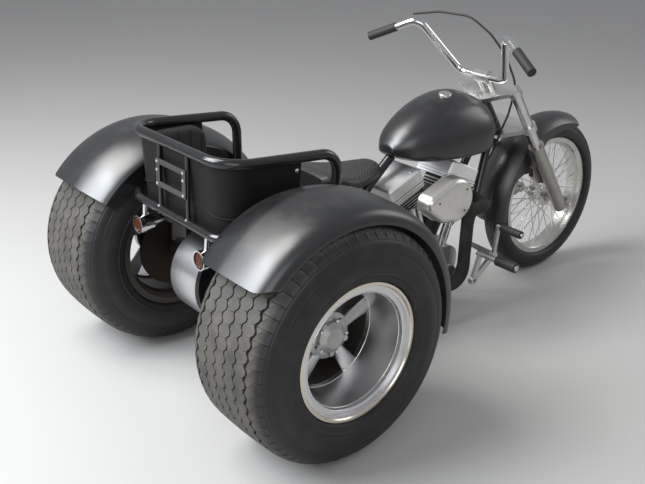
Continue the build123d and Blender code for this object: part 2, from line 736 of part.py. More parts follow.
def air_cleaner():
    """The teardrop air cleaner with its bevelled rim, backing plate and carburettor behind it."""
    shoulder = AIR_X + AIR_T - AIR_BEVEL
    body = loft([Pos(AIR_X, 0, 0) * air_outline(13), Pos(shoulder, 0, 0) * air_outline(10.5)])
    body += loft([Pos(shoulder, 0, 0) * air_outline(10.5), Pos(AIR_X + AIR_T, 0, 0) * air_outline(0)])
    back = Pos(AIR_X - 4, 0, 0) * extrude(air_outline(14), amount=4, dir=(1, 0, 0))
    carb = rod((CARB_X, CRANK_Y - 6, CARB_Z), (AIR_X - 4, CRANK_Y - 6, CARB_Z), 34)
    return body + back + carb


def intake_manifold():
    """The pipe between the two heads that feeds them."""
    pipe = rod((0, CRANK_Y, CARB_Z), (CARB_X, CRANK_Y, CARB_Z), 22)
    branch = rod((0, CRANK_Y - 80, MANIFOLD_Z), (0, CRANK_Y + 80, MANIFOLD_Z), 19)
    return (pipe + branch) - engine_cylinders()


def gearbox():
    """The four-speed gearbox behind the engine."""
    case = Pos(-4, GEARBOX_Y + 10, GEARBOX_Z + 10) * Box(150, 170, 150)
    case = fillet(case.edges().filter_by(Axis.X), 34)
    lid = Pos(-4, GEARBOX_Y + 10, GEARBOX_Z + 92) * Box(120, 120, 22)
    return (case + lid) - drive_chain() - frame_spine()


PRIMARY_X = 150
PRIMARY_T = 62


def primary_cover():
    """The long cover on the left over the clutch drive."""
    ends = [(CRANK_Y, CRANK_Z + 8, 72), (GEARBOX_Y + 20, GEARBOX_Z + 8, 92)]
    discs = [Pos(y, z) * Circle(r) for y, z, r in ends]
    face = make_hull(discs[0].edges() + discs[1].edges())
    cover = Pos(-PRIMARY_X - PRIMARY_T, 0, 0) * extrude(Plane.YZ * face, amount=PRIMARY_T, dir=(1, 0, 0))
    collar = rod((-CASE_HALF, CRANK_Y, CRANK_Z + 8), (-PRIMARY_X, CRANK_Y, CRANK_Z + 8), 58)
    return (cover + collar) - crankcase()


PIPE_R = 24
PIPE_X = 172


def exhaust_pipes():
    """Two wrapped pipes, from the ports round and down to the right side, then rearwards."""
    front = tube([(34, 1044, 458), (74, 1092, 446), (PIPE_X, 1046, 446), (PIPE_X, 955, 440),
                  (PIPE_X, 955, 158), (PIPE_X, 560, 158)], PIPE_R, [38, 40, 40, 62])
    return front - engine_cylinders()


# Foot controls

PEG_Y = 950
PEG_Z = 300
PEDAL_Y = 1012
PEDAL_Z = 400
PEG_RUBBER_R = 19
PEDAL_RUBBER_R = 15


def foot_controls():
    """On each side a forked arm hung from the frame, with a peg rod, an upright and a pedal rod."""
    arm_x = 250
    arm_t = 12
    middle = arm_x + arm_t / 2
    hole = (918, 202)
    knee = (1022, 280)

    def prong(start, end, low_half, high_half):
        along = (Vector(0, *end) - Vector(0, *start)).normalized()
        side = Vector(0, -along.Z, along.Y)
        corners = [Vector(0, *start) + side * low_half, Vector(0, *end) + side * high_half,
                   Vector(0, *end) - side * high_half, Vector(0, *start) - side * low_half]
        return side_slab([(corner.Y, corner.Z) for corner in corners], arm_x, arm_x + arm_t)

    right = prong(hole, knee, 13, 11) + prong(hole, (PEG_Y - 6, PEG_Z), 13, 9)
    for spot, radius in ((hole, 17), (knee, 13)):
        right += rod((arm_x - 3, *spot), (arm_x + arm_t + 3, *spot), radius)
    right -= rod((arm_x - 20, *hole), (arm_x + 40, *hole), 7)
    right += rod((90, 1056, 268), (arm_x, *knee), 10)
    right += rod((240, PEG_Y, PEG_Z), (424, PEG_Y, PEG_Z), 11)
    right += rod((middle, *knee), (274, PEDAL_Y, PEDAL_Z), 9)
    right += rod((268, PEDAL_Y, PEDAL_Z), (386, PEDAL_Y, PEDAL_Z), 8)
    return mirrored_pair(right - frame_downtubes())


def peg_rubbers():
    """Rubber sleeves on the peg rods and pedal rods."""
    peg = rod((334, PEG_Y, PEG_Z), (420, PEG_Y, PEG_Z), PEG_RUBBER_R)
    peg -= rod((300, PEG_Y, PEG_Z), (450, PEG_Y, PEG_Z), 11)
    pedal = rod((290, PEDAL_Y, PEDAL_Z), (380, PEDAL_Y, PEDAL_Z), PEDAL_RUBBER_R)
    pedal -= rod((260, PEDAL_Y, PEDAL_Z), (400, PEDAL_Y, PEDAL_Z), 8)
    return mirrored_pair(solids_of(peg, pedal))


# Front end

def fork_leg_point(along, side=1):
    """A point on a fork leg, counted down from the upper tree."""
    return on_fork(along, FORK_OFFSET, side * FORK_HALF)


SLIDER_TOP = 312
SLIDER_END = 686


def upper_tree():
    """The bright upper tree: a flat plate with a round boss under it for each fork tube."""
    corners = [(FORK_HALF + 6, FORK_OFFSET + 24), (FORK_HALF + 22, FORK_OFFSET - 6), (26, -22), (-26, -22),
               (-FORK_HALF - 22, FORK_OFFSET - 6), (-FORK_HALF - 6, FORK_OFFSET + 24)]
    plane = Plane(origin=on_fork(UPPER_TREE_DROP), x_dir=(1, 0, 0), z_dir=-DOWN)
    plate = plane * extrude(outline(corners), amount=TREE_T / 2, both=True)
    low = UPPER_TREE_DROP + TREE_T / 2
    for side in (-1, 1):
        plate += rod(fork_leg_point(low - TREE_T, side), fork_leg_point(low + 5, side), 27)
    return plate - fork_tubes() - steering_stem()


def lower_tree():
    """The lower tree, which clamps both fork tubes and the stem."""
    corners = [(FORK_HALF, FORK_OFFSET + 24), (FORK_HALF + 16, FORK_OFFSET - 14), (30, -26), (-30, -26),
               (-FORK_HALF - 16, FORK_OFFSET - 14), (-FORK_HALF, FORK_OFFSET + 24)]
    plane = Plane(origin=on_fork(LOWER_TREE_DROP), x_dir=(1, 0, 0), z_dir=-DOWN)
    plate = plane * extrude(outline(corners), amount=LOWER_TREE_T / 2 - 5, both=True)
    half = LOWER_TREE_T / 2
    for side in (-1, 1):
        top = fork_leg_point(LOWER_TREE_DROP - half, side)
        plate += rod(top, fork_leg_point(LOWER_TREE_DROP + half, side), 29)
    return plate - fork_tubes() - steering_stem()


def steering_stem():
    """The stem that turns in the head tube, with its nut above the upper tree."""
    nut_top = UPPER_TREE_DROP - TREE_T / 2 - 8
    return rod(on_fork(nut_top), on_fork(LOWER_TREE_DROP + LOWER_TREE_T / 2), STEM_R)


def fork_tubes():
    """The two bare fork tubes, from their caps down into the sliders."""
    top = UPPER_TREE_DROP - TREE_T / 2 + 1
    tubes = [rod(fork_leg_point(top, side), fork_leg_point(SLIDER_TOP + 60, side), FORK_TUBE_R)
             for side in (-1, 1)]
    return solids_of(*tubes)


def fork_sliders():
    """The two sliders, with a ring on top and a lug ahead of the foot for the axle."""
    axle = (0, WHEELBASE, FRONT_TYRE_R)
    parts = []
    for side in (-1, 1):
        body = rod(fork_leg_point(SLIDER_TOP, side), fork_leg_point(SLIDER_END, side), SLIDER_R)
        ring = rod(fork_leg_point(SLIDER_TOP, side), fork_leg_point(SLIDER_TOP + 14, side), SLIDER_R + 4)
        lug = rod((side * (FORK_HALF - 24), *axle[1:]), (side * (FORK_HALF + 24), *axle[1:]), 22)
        inner_top = fork_leg_point(SLIDER_TOP - 10, side)
        inner = rod(inner_top, fork_leg_point(SLIDER_TOP + 60, side), FORK_TUBE_R)
        ear = side_slab([(-210, 176), (-202, 139), (-168, 109), (-120, 99), (-120, 149), (-150, 190)],
                        FRONT_FENDER_HALF + SEAT_GAP, FORK_HALF - 21)
        ear = Pos(*axle) * ear
        ear = ear if side == 1 else mirror(ear, about=Plane.YZ)
        parts.append((body + ring + lug + ear) - inner - front_axle())
    return solids_of(*parts)


def front_axle():
    """The front axle with a nut at each end."""
    ends = FORK_HALF + 34
    return rod((-ends, WHEELBASE, FRONT_TYRE_R), (ends, WHEELBASE, FRONT_TYRE_R), 9.5)


BAR_R = 14.3
RISER_X = 24
RISER_H = 42
BAR_LOW = on_fork(-RISER_H, FORK_OFFSET - 12)
BAR_CORNER = (212, 1010, 1090)
BAR_END = (393, 939, 1005)


def handlebar():
    """One bent tube: level in the clamp, up at each side and back to the grips."""
    right = [(110, BAR_LOW.Y, BAR_LOW.Z), BAR_CORNER, BAR_END]
    left = [(-x, y, z) for x, y, z in reversed(right)]
    return tube(left + right, BAR_R, [52, 52, 52, 52])


def riser_clamp():
    """Two risers on the upper tree under a one-piece clamp round the bar."""
    foot = UPPER_TREE_DROP - TREE_T / 2
    plane = Plane(origin=on_fork(-RISER_H - 2, FORK_OFFSET - 12), x_dir=(1, 0, 0), z_dir=-DOWN)
    top = plane * Box(66, 42, 40)
    shape = fillet(top.edges().filter_by(Axis.X), 12)
    for side in (-1, 1):
        shape += rod(on_fork(foot, FORK_OFFSET - 12, side * RISER_X),
                     on_fork(-RISER_H, FORK_OFFSET - 12, side * RISER_X), 13)
    return shape - rod((-300, BAR_LOW.Y, BAR_LOW.Z), (300, BAR_LOW.Y, BAR_LOW.Z), BAR_R)


GRIP_R = 17
GRIP_LENGTH = 122


def grips():
    """Two rubber grips over the ends of the bar."""
    outward = (Vector(*BAR_END) - Vector(*BAR_CORNER)).normalized()
    end = Vector(*BAR_END) + outward * 5
    grip = rod(tuple(end), tuple(end - outward * GRIP_LENGTH), GRIP_R)
    return mirrored_pair(grip - handlebar())


FRONT_FENDER_R = FRONT_TYRE_R + 31
FRONT_FENDER_HALF = 80
FRONT_FENDER_START = 72
FRONT_FENDER_ARC = 115


def front_fender():
    """The deep front fender: a round-topped channel cut to a curved skirt."""
    def section(grow):
        half = FRONT_FENDER_HALF - grow
        top = FRONT_FENDER_R - grow
        return [
            Line((half, 200), (half, top - 34)),
            ThreePointArc((half, top - 34), (0, top), (-half, top - 34)),
            Line((-half, top - 34), (-half, 200)),
        ]
    face = make_face(Curve() + section(0) + section(FENDER_T) + [
        Line((FRONT_FENDER_HALF, 200), (FRONT_FENDER_HALF - FENDER_T, 200)),
        Line((-FRONT_FENDER_HALF, 200), (FENDER_T - FRONT_FENDER_HALF, 200)),
    ])
    shell = Rot(X=FRONT_FENDER_START) * revolve(face, axis=Axis.X, revolution_arc=FRONT_FENDER_ARC)
    reach = FRONT_FENDER_R / 362
    skirt = [(150, 300), (66, 304), (0, 302), (-52, 288), (-105, 268), (-140, 224), (-152, 168),
             (-172, 150), (-232, 150), (-262, 136), (-284, 116), (-304, 71), (-313, 14), (-306, -60),
             (-420, -60), (-420, 420), (150, 420)]
    shell &= side_slab([(y * reach, z * reach) for y, z in skirt], -200, 200)
    return Pos(0, WHEELBASE, FRONT_TYRE_R) * shell


# Control cable

CABLE_R = 4
CABLE_CUT = 120
CABLE_END_GAP = 0.3
# Route from the left switch over the clamp, down between the fork legs and beside the head tube
CABLE_POINTS = [
    (-234, 1004, 1106), (-150, 1056, 1122), (-30, 1097, 1118), (50, 1128, 1062), (96, 1172, 985),
    (100, 1246, 866), (86, 1234, 752), (72, 1222, 694), (58, 1204, 610), (16, 1184, 500), (34, 1030, 330),
    (34, 940, 270),
]
CABLE_BENDS = [90, 110, 90, 110, 120, 200, 200, 150, 150, 150]


def control_cable():
    """The whole cable from the switch on the bar to its fitting on the crankcase."""
    return tube(CABLE_POINTS, CABLE_R, CABLE_BENDS)


def steering_side(low, high):
    """The room between two distances down the steering head."""
    plane = Plane(origin=on_fork(low), x_dir=(1, 0, 0), z_dir=DOWN)
    return plane * extrude(Rectangle(1600, 1600), amount=high - low)


def control_cable_upper():
    """The cable's length on the turning front end."""
    return control_cable() & steering_side(CABLE_CUT - 700, CABLE_CUT - CABLE_END_GAP)


def control_cable_lower():
    """The cable's length beside the head tube and downtube, down to the crankcase."""
    rest = control_cable() & steering_side(CABLE_CUT + CABLE_END_GAP, CABLE_CUT + 900)
    return rest - frame_downtubes() - crankcase() - engine_cylinders()


# Front wheel

SPOKE_PAIRS = 10
WIRE_R = 1.8
HUB_FLANGE_R = 42


def at_front(shape):
    """Moves a piece made about X onto the front axle."""
    return Pos(0, WHEELBASE, FRONT_TYRE_R) * shape


def front_tyre():
    """The narrow front tyre."""
    rim = (FRONT_RIM_R, FRONT_RIM_W, FRONT_FLANGE_R)
    return at_front(tyre(FRONT_TYRE_R, FRONT_TYRE_W, *rim, (26, 5), (46, 31), 9))


RIM_WELL_R = FRONT_RIM_R - 15.3
RIM_WALL = 4


def front_rim():
    """The polished drop-centre rim."""
    edge = FRONT_RIM_W / 2
    seat = FRONT_RIM_R
    well = RIM_WELL_R
    return at_front(turned([
        (edge, FRONT_FLANGE_R), (edge - FLANGE_T, FRONT_FLANGE_R), (edge - FLANGE_T, seat),
        (edge - 16, seat), (edge - 22, well + RIM_WALL), (22 - edge, well + RIM_WALL), (16 - edge, seat),
        (FLANGE_T - edge, seat), (FLANGE_T - edge, FRONT_FLANGE_R), (-edge, FRONT_FLANGE_R),
        (-edge, seat - 5), (20 - edge, seat - 5), (26 - edge, well), (edge - 26, well),
        (edge - 20, seat - 5), (edge, seat - 5),
    ]))


def front_hub():
    """The hub with its crossed wire spokes, which end at the rim."""
    bore = 9.5 + RUNNING_GAP
    hub = turned([
        (-60, bore), (-60, 20), (-38, 22), (-34, HUB_FLANGE_R), (-29, HUB_FLANGE_R), (-26, 24), (26, 24),
        (29, HUB_FLANGE_R), (34, HUB_FLANGE_R), (38, 22), (60, 20), (60, bore),
    ])
    wires = []
    for side in (-1, 1):
        for k in range(SPOKE_PAIRS):
            for lean, offset in ((1, 1), (-1, -2)):
                turn = 360 / SPOKE_PAIRS * (k + (0.25 if side == 1 else -0.25)) + lean * 4.5
                hub_angle = math.radians(turn + lean * 50)
                rim_angle = math.radians(turn)
                low = (side * (31.5 + offset), 37 * math.cos(hub_angle), 37 * math.sin(hub_angle))
                r = RIM_WELL_R - 2 * SEAT_GAP
                high = (side * 9, r * math.cos(rim_angle), r * math.sin(rim_angle))
                wires.append(rod(low, high, WIRE_R))
    return at_front(solids_of(hub.fuse(*wires)))


# Every node and its shape

def build_all():
    right_wheel = Pos(REAR_WHEEL_X, 0, REAR_TYRE_R)
    wheel_pieces = {
        "rear_tyre": right_wheel * rear_tyre(),
        "rear_wheel": right_wheel * rear_wheel(),
        "hub_cap": right_wheel * hub_cap(),
        "axle_hub": axle_height(axle_hub()),
        "rear_fender": rear_fender(),
    }
    nodes = {}
    for name, shape in wheel_pieces.items():
        nodes[name + "_right"] = shape
        nodes[name + "_left"] = mirror(shape, about=Plane.YZ)
    makers = [
        rear_axle_housing, differential_drum, drum_side_plate, drive_chain, brake_callipers, frame_spine,
        frame_downtubes, frame_lower_rails, frame_rear_stays, box_subframe, box_body, box_rail, lower_bar,
        box_cushions, tail_lamps, fuel_tank, seat, engine_cylinders, rocker_boxes, crankcase, pushrod_tubes,
        air_cleaner, intake_manifold, gearbox, primary_cover, exhaust_pipes, foot_controls, peg_rubbers,
        upper_tree, lower_tree, steering_stem, fork_tubes, fork_sliders, front_axle, handlebar, riser_clamp,
        grips, front_fender, control_cable_upper, control_cable_lower, front_tyre, front_rim, front_hub,
    ]
    for maker in makers:
        nodes[maker.__name__] = maker()
    return nodes


os.makedirs("parts", exist_ok=True)
for name, shape in build_all().items():
    export_step(TO_ROW_FRAME * shape, f"parts/{name}.step")
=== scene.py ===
import math

import bmesh
import bpy
import numpy as np
from mathutils import Matrix, Vector


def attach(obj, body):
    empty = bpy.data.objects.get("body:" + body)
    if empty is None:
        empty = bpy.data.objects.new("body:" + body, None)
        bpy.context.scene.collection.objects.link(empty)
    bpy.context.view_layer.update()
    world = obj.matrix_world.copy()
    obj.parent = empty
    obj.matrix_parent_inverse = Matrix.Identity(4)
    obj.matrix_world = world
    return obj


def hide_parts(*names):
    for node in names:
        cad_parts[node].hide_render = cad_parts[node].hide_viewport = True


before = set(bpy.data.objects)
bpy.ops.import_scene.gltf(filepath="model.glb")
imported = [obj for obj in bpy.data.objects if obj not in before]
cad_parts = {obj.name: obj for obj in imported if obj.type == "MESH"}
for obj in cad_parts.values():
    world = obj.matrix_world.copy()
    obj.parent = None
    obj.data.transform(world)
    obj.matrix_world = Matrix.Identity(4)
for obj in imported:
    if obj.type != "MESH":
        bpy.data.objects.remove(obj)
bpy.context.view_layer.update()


# Studio
# The camera stands at the right rear corner at standing height, where the photograph was taken, and
# large soft lamps light the trike from behind, above and in front.

CAMERA_PLACE = (2.2758, -2.3490, 1.6125)
CAMERA_YAW = 49.4547
CAMERA_PITCH = -22.1594
CAMERA_ROLL = 0.0362
CAMERA_LENS = 51.47

bpy.context.scene.view_settings.view_transform = "Standard"


def place_in_scene(name, data, material=None):
    """An object with this data at the scene's origin, in its material if it has one."""
    made = bpy.data.objects.new(name, data)
    bpy.context.scene.collection.objects.link(made)
    if material is not None:
        data.materials.append(material)
    return made


def camera():
    """The camera at the photograph's place, with its turn, tilt and small roll."""
    data = bpy.data.cameras.new("camera")
    data.lens = CAMERA_LENS
    made = place_in_scene("camera", data)
    turn = Matrix.Rotation(math.radians(CAMERA_YAW), 4, "Z")
    tilt = Matrix.Rotation(math.radians(90 + CAMERA_PITCH), 4, "X")
    roll = Matrix.Rotation(CAMERA_ROLL, 4, "Z")
    made.matrix_world = Matrix.Translation(CAMERA_PLACE) @ turn @ tilt @ roll
    bpy.context.scene.camera = made


def lamp(name, place, target, size, watts, colour=(1, 1, 1)):
    """A square soft lamp that faces a target."""
    data = bpy.data.lights.new(name, "AREA")
    data.size = size
    data.energy = watts
    data.color = colour
    aim = (Vector(target) - Vector(place)).to_track_quat("-Z", "Y")
    place_in_scene(name, data).matrix_world = Matrix.Translation(place) @ aim.to_matrix().to_4x4()


camera()
lamp("key", (-1.5, -2.4, 4.6), (0, 0, 0.5), 2.4, 175, (1.0, 0.98, 0.95))
lamp("fill", (3.6, -3.4, 2.6), (0, 0, 0.4), 3.0, 52)
lamp("front", (1.5, 3.8, 2.8), (0, 0.3, 0.5), 2.4, 42)
lamp("rear", (-0.9, -3.5, 2.7), (0.1, -0.9, 0.6), 2.2, 200, (0.90, 0.95, 1.0))


# Fenders, tank and front fender
# Pressed and rolled sheet steel, sprayed satin black without any lacquer, so that the sky shows in it
# only as one broad soft patch. Road dust lies thinly on what faces up.

SATIN_BLACK = (0.0050, 0.0052, 0.0060, 1)
PAINT_DUST = (0.060, 0.056, 0.050, 1)


class Socket:
    """A value in a node tree. Arithmetic on it adds Math nodes, and node() adds any other node."""

    def __init__(self, tree, socket):
        self.tree = tree
        self.socket = socket

    def node(self, kind, settings=None, inputs=None, output=0):
        """A shader node of a kind, with its settings, the values or links of its inputs and one output."""
        made = self.tree.nodes.new("ShaderNode" + kind)
        for name, value in (settings or {}).items():
            setattr(made, name, value)
        for key, value in (inputs or {}).items():
            if isinstance(value, Socket):
                self.tree.links.new(value.socket, made.inputs[key])
            else:
                made.inputs[key].default_value = value
        return Socket(self.tree, made.outputs[output])

    def math(self, operation, other=0.0):
        return self.node("Math", {"operation": operation}, {0: self, 1: other})

    def __add__(self, other):
        return self.math("ADD", other)

    def __mul__(self, other):
        return self.math("MULTIPLY", other)

    def __sub__(self, other):
        return self.math("SUBTRACT", other)

    def __rsub__(self, other):
        return self.node("Math", {"operation": "SUBTRACT"}, {0: other, 1: self})

    __radd__ = __add__

    def part(self, axis):
        """One coordinate of this vector: 0, 1 or 2."""
        return self.node("SeparateXYZ", None, {0: self}, axis)

    def noise(self, scale, detail=2.0, roughness=0.5, stretch=(1, 1, 1)):
        """Grey noise of a scale in cycles per metre, read from this vector."""
        place = self.node("Mapping", None, {"Vector": self, "Scale": stretch})
        return self.node("TexNoise", None,
                         {"Vector": place, "Scale": scale, "Detail": detail, "Roughness": roughness})

    def waves(self, scale, settings, shape=None):
        """Grey bands read from this vector."""
        return self.node("TexWave", settings, {"Vector": self, "Scale": scale, **(shape or {})}, 1)

    def grain(self, scale):
        """The cell grain of leather: dark creases round small pale cells."""
        cells = {"Vector": self, "Scale": scale}
        return self.node("TexVoronoi", {"feature": "DISTANCE_TO_EDGE"}, cells).between(0.0, 0.25)

    def between(self, low, high):
        """0 where this value is below low, 1 above high, and smooth from one to the other."""
        return self.node("MapRange", {"interpolation_type": "SMOOTHSTEP"},
                         {"Value": self, "From Min": low, "From Max": high})

    def mix(self, first, second):
        """One colour changed to another by this value."""
        return self.node("Mix", {"data_type": "RGBA"}, {0: self, 6: first, 7: second}, 2)


def new_material(name, **values):
    """A new material's object coordinates, and a function that links what varies on it and returns it."""
    material = bpy.data.materials.new(name)
    material.use_nodes = True
    tree = material.node_tree
    shader = tree.nodes["Principled BSDF"]
    for key, value in values.items():
        shader.inputs[key.replace("_", " ")].default_value = value
    coordinates = tree.nodes.new("ShaderNodeTexCoord")

    def link(**links):
        for key, value in links.items():
            tree.links.new(value.socket, shader.inputs[key.replace("_", " ")])
        return material

    return Socket(tree, coordinates.outputs["Object"]), link


def bump(height, distance):
    """The normal of a surface whose relief is a grey value, distance metres deep."""
    return height.node("Bump", None, {"Height": height, "Distance": distance})


def facing_up(place):
    """How far a surface faces the sky, from 0 to 1."""
    return place.node("NewGeometry", None, None, 1).part(2)


def satin_black():
    """Satin black paint with fine orange peel and a breath of dust on top."""
    place, link = new_material("satin_black_paint", IOR=1.75)
    cloud = place.noise(9, 4, 0.6)
    dust = facing_up(place).between(0.55, 1.0) * cloud.between(0.42, 0.75)
    return link(
        Base_Color=(dust * 0.30).mix(SATIN_BLACK, PAINT_DUST),
        Roughness=0.29 + cloud * 0.07 + dust * 0.06,
        Normal=bump(place.noise(700, 2), 0.00006),
    )


def dress(material, *nodes):
    """Gives CAD nodes a finish."""
    for node in nodes:
        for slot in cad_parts[node].material_slots:
            slot.material = material


satin_paint = satin_black()
dress(satin_paint, "rear_fender_right", "rear_fender_left", "front_fender", "fuel_tank")


# Tyres
# Black rubber moulded in a heated press. Zig-zag ribs and shoulder blocks stand on the carcass, and
# dry dust from the ground stays on the tread and in its grooves.

REAR_AXLE = (-0.7945, 0.362)
FRONT_AXLE = (0.8255, 0.331)
REAR_WHEEL_X = 0.475
RUBBER = (0.0085, 0.0085, 0.0088, 1)
TREAD_DUST = (0.150, 0.138, 0.118, 1)
FLAT = 0
ALL_SMOOTH = 180


def circle(count):
    """The cosine and sine of so many equal turns round a full circle."""
    turns = [2 * math.pi * k / count for k in range(count)]
    return [(math.cos(turn), math.sin(turn)) for turn in turns]


def shade(mesh, degrees):
    """Faces turned outward, and smooth where they meet at less than an angle."""
    work = bmesh.new()
    work.from_mesh(mesh)
    bmesh.ops.recalc_face_normals(work, faces=work.faces)
    for edge in work.edges:
        edge.smooth = edge.calc_face_angle(0) < math.radians(degrees)
    for face in work.faces:
        face.smooth = degrees > FLAT
    work.to_mesh(mesh)
    work.free()
    return mesh


def solid_mesh(name, rings, smooth=FLAT, looped=False):
    """A closed solid from rings of points with equal counts: its ends are capped, or joined in a loop."""
    count = len(rings[0])
    vertices = [tuple(point) for ring in rings for point in ring]
    total = len(vertices)
    faces = []
    for a in range(0, total if looped else total - count, count):
        b = (a + count) % total
        for n in range(count):
            m = (n + 1) % count
            faces.append((a + n, a + m, b + m, b + n))
    if not looped:
        faces += [tuple(reversed(range(count))), tuple(range(total - count, total))]
    mesh = bpy.data.meshes.new(name)
    mesh.from_pydata(vertices, [], faces)
    return shade(mesh, smooth)


def lathe(name, profile, centre, segments, smooth=38):
    """A closed ring turned about X round a centre, from (x, radius) points in order."""
    cx, cy, cz = centre
    rings = [[(cx + x, cy + radius * c, cz + radius * s) for x, radius in profile]
             for c, s in circle(segments)]
    return solid_mesh(name, rings, smooth, looped=True)


def join_meshes(name, meshes):
    """Several meshes as one."""
    work = bmesh.new()
    for mesh in meshes:
        work.from_mesh(mesh)
        bpy.data.meshes.remove(mesh)
    joined = bpy.data.meshes.new(name)
    work.to_mesh(joined)
    work.free()
    return joined


def baked(made):
    """The mesh of an object with its modifiers applied. The object itself goes."""
    graph = bpy.context.evaluated_depsgraph_get()
    mesh = bpy.data.meshes.new_from_object(made.evaluated_get(graph))
    bpy.data.objects.remove(made)
    return mesh


def copies_tree():
    """Geometry nodes that put a block at every point, turned by the point's own angles."""
    tree = bpy.data.node_groups.get("copies")
    if tree:
        return tree
    tree = bpy.data.node_groups.new("copies", "GeometryNodeTree")
    for name, way, kind in (("Points", "INPUT", "Geometry"), ("Block", "INPUT", "Object"),
                            ("Finish", "INPUT", "Material"), ("Copies", "OUTPUT", "Geometry")):
        tree.interface.new_socket(name, in_out=way, socket_type=f"NodeSocket{kind}")
    start, end, block, turn, rotation, spread, real, finish = [tree.nodes.new(kind) for kind in (
        "NodeGroupInput", "NodeGroupOutput", "GeometryNodeObjectInfo", "GeometryNodeInputNamedAttribute",
        "FunctionNodeEulerToRotation", "GeometryNodeInstanceOnPoints", "GeometryNodeRealizeInstances",
        "GeometryNodeSetMaterial")]
    turn.data_type = "FLOAT_VECTOR"
    turn.inputs["Name"].default_value = "turn"
    for source, out, target, key in (
            (start, "Block", block, "Object"), (start, "Points", spread, "Points"),
            (block, "Geometry", spread, "Instance"), (turn, "Attribute", rotation, 0),
            (rotation, 0, spread, "Rotation"), (spread, "Instances", real, "Geometry"),
            (real, "Geometry", finish, "Geometry"), (start, "Finish", finish, "Material"),
            (finish, "Geometry", end, "Copies")):
        tree.links.new(source.outputs[out], target.inputs[key])
    return tree


def copies(name, block, spots, turns, material):
    """One mesh of the block repeated at each spot, with XYZ angles for each."""
    mesh = bpy.data.meshes.new(name + "_points")
    mesh.from_pydata(spots, [], [])
    attribute = mesh.attributes.new("turn", "FLOAT_VECTOR", "POINT")
    attribute.data.foreach_set("vector", np.array(turns, dtype=float).ravel())
    carrier = place_in_scene(name + "_points", mesh)
    pattern = place_in_scene(name + "_block", block)
    modifier = carrier.modifiers.new("copies", "NODES")
    modifier.node_group = copies_tree()
    values = {"Block": pattern, "Finish": material}
    for item in modifier.node_group.interface.items_tree:
        if item.in_out == "INPUT" and item.name in values:
            modifier[item.identifier] = values[item.name]
    carrier.update_tag()
    bpy.context.view_layer.update()
    made = baked(carrier)
    made.name = name
    bpy.data.objects.remove(pattern)
    return place_in_scene(name, made)


def from_axle(place, axle):
    """The distance of a place from an axle that lies across the machine."""
    arm = place.node("VectorMath", {"operation": "SUBTRACT"}, {0: place, 1: (0, *axle)})
    arm = arm.node("VectorMath", {"operation": "MULTIPLY"}, {0: arm, 1: (0, 1, 1)})
    return arm.node("VectorMath", {"operation": "LENGTH"}, {0: arm}, 1)


def rubber(name, axle, tread_low, dust):
    """Rubber that is black on the side walls and dusty from a radius outwards."""
    place, link = new_material(name)
    cloud = place.noise(14, 5, 0.65)
    grit = place.noise(260, 3, 0.6)
    on_tread = from_axle(place, axle).between(tread_low, tread_low + 0.012)
    worn = on_tread * (cloud * 0.8 + grit * 0.5).between(0.30, 0.80)
    amount = worn * dust + cloud.between(0.45, 0.80) * 0.10
    return link(
        Base_Color=amount.mix(RUBBER, TREAD_DUST),
        Roughness=0.48 + amount * 0.35 + grit * 0.08,
        Normal=bump(place.noise(420, 3, 0.6), 0.00022),
    )


def crown(profile, x):
    """The tread's outer radius at a distance from the tyre's middle."""
    return float(np.interp(abs(x), *zip(*profile)))


def rib_block(profile, low_x, high_x, size, pitch, shift):
    """One lump of a rib between two zig-zag grooves, with a short slit at each end of its right edge."""
    middle = (low_x + high_x) / 2
    steps = [(-0.5, -1.0), (-0.36, -1.0), (-0.14, 1.0), (0.14, 1.0), (0.36, -1.0), (0.5, -1.0)]
    corners = []
    for side, x in ((-1, low_x + size["groove"] / 2), (1, high_x - size["groove"] / 2)):
        for along, swell in (steps if side < 0 else reversed(steps)):
            opening = size["slit"] if side > 0 and abs(along) == 0.5 else 0
            corners.append((x + side * size["wave"] * swell, along, opening))
        corners.append((middle, -0.5 * side, 0))

    def ring(inset, drop):
        points = []
        for x, along, opening in corners:
            toward = math.copysign(min(inset, abs(x - middle)), middle - x)
            gap = (opening + inset) / profile[0][1] if opening else 0
            angle = along * pitch - math.copysign(gap, along) + shift * pitch
            radius = crown(profile, x + toward) - drop
            points.append((x + toward, radius * math.cos(angle), radius * math.sin(angle)))
        return points

    return [ring(0, size["depth"]), ring(0, size["chamfer"]), ring(size["chamfer"], 0)]


def shoulder_block(profile, low_x, high_x, size, pitch):
    """One block of the shoulder, whose gap closes towards the side wall, where the block runs out."""
    reach = high_x - low_x
    side = math.copysign(1, reach)
    wave = size["wave"]
    gap = size["slit"] * 1.2
    stations = [(low_x - side * wave, 1.0), (low_x + 0.35 * reach, 0.8), (low_x + 0.65 * reach, 0.55),
                (low_x + 0.85 * reach, 0.25), (high_x, 0.0)]
    rows = [(x, opening, -1) for x, opening in stations]
    rows += [(x, opening, 1) for x, opening in reversed(stations)]
    rows.append((low_x + side * wave, 0, 0))

    def ring(inset, drop):
        points = []
        for x, opening, end in rows:
            if abs(x) <= abs(low_x) + wave:
                x += side * inset
            half = pitch / 2 - (opening * gap / 2 + (inset if opening else 0)) / profile[0][1]
            radius = crown(profile, x) - drop
            slope = crown(profile, abs(x) - 0.004) - crown(profile, abs(x) + 0.004)
            out = math.copysign(min(drop * slope / 0.012, drop), x)
            points.append((x - out, radius * math.cos(end * half), radius * math.sin(end * half)))
        return points

    return [ring(0, size["depth"]), ring(0, size["chamfer"]), ring(size["chamfer"], 0)]


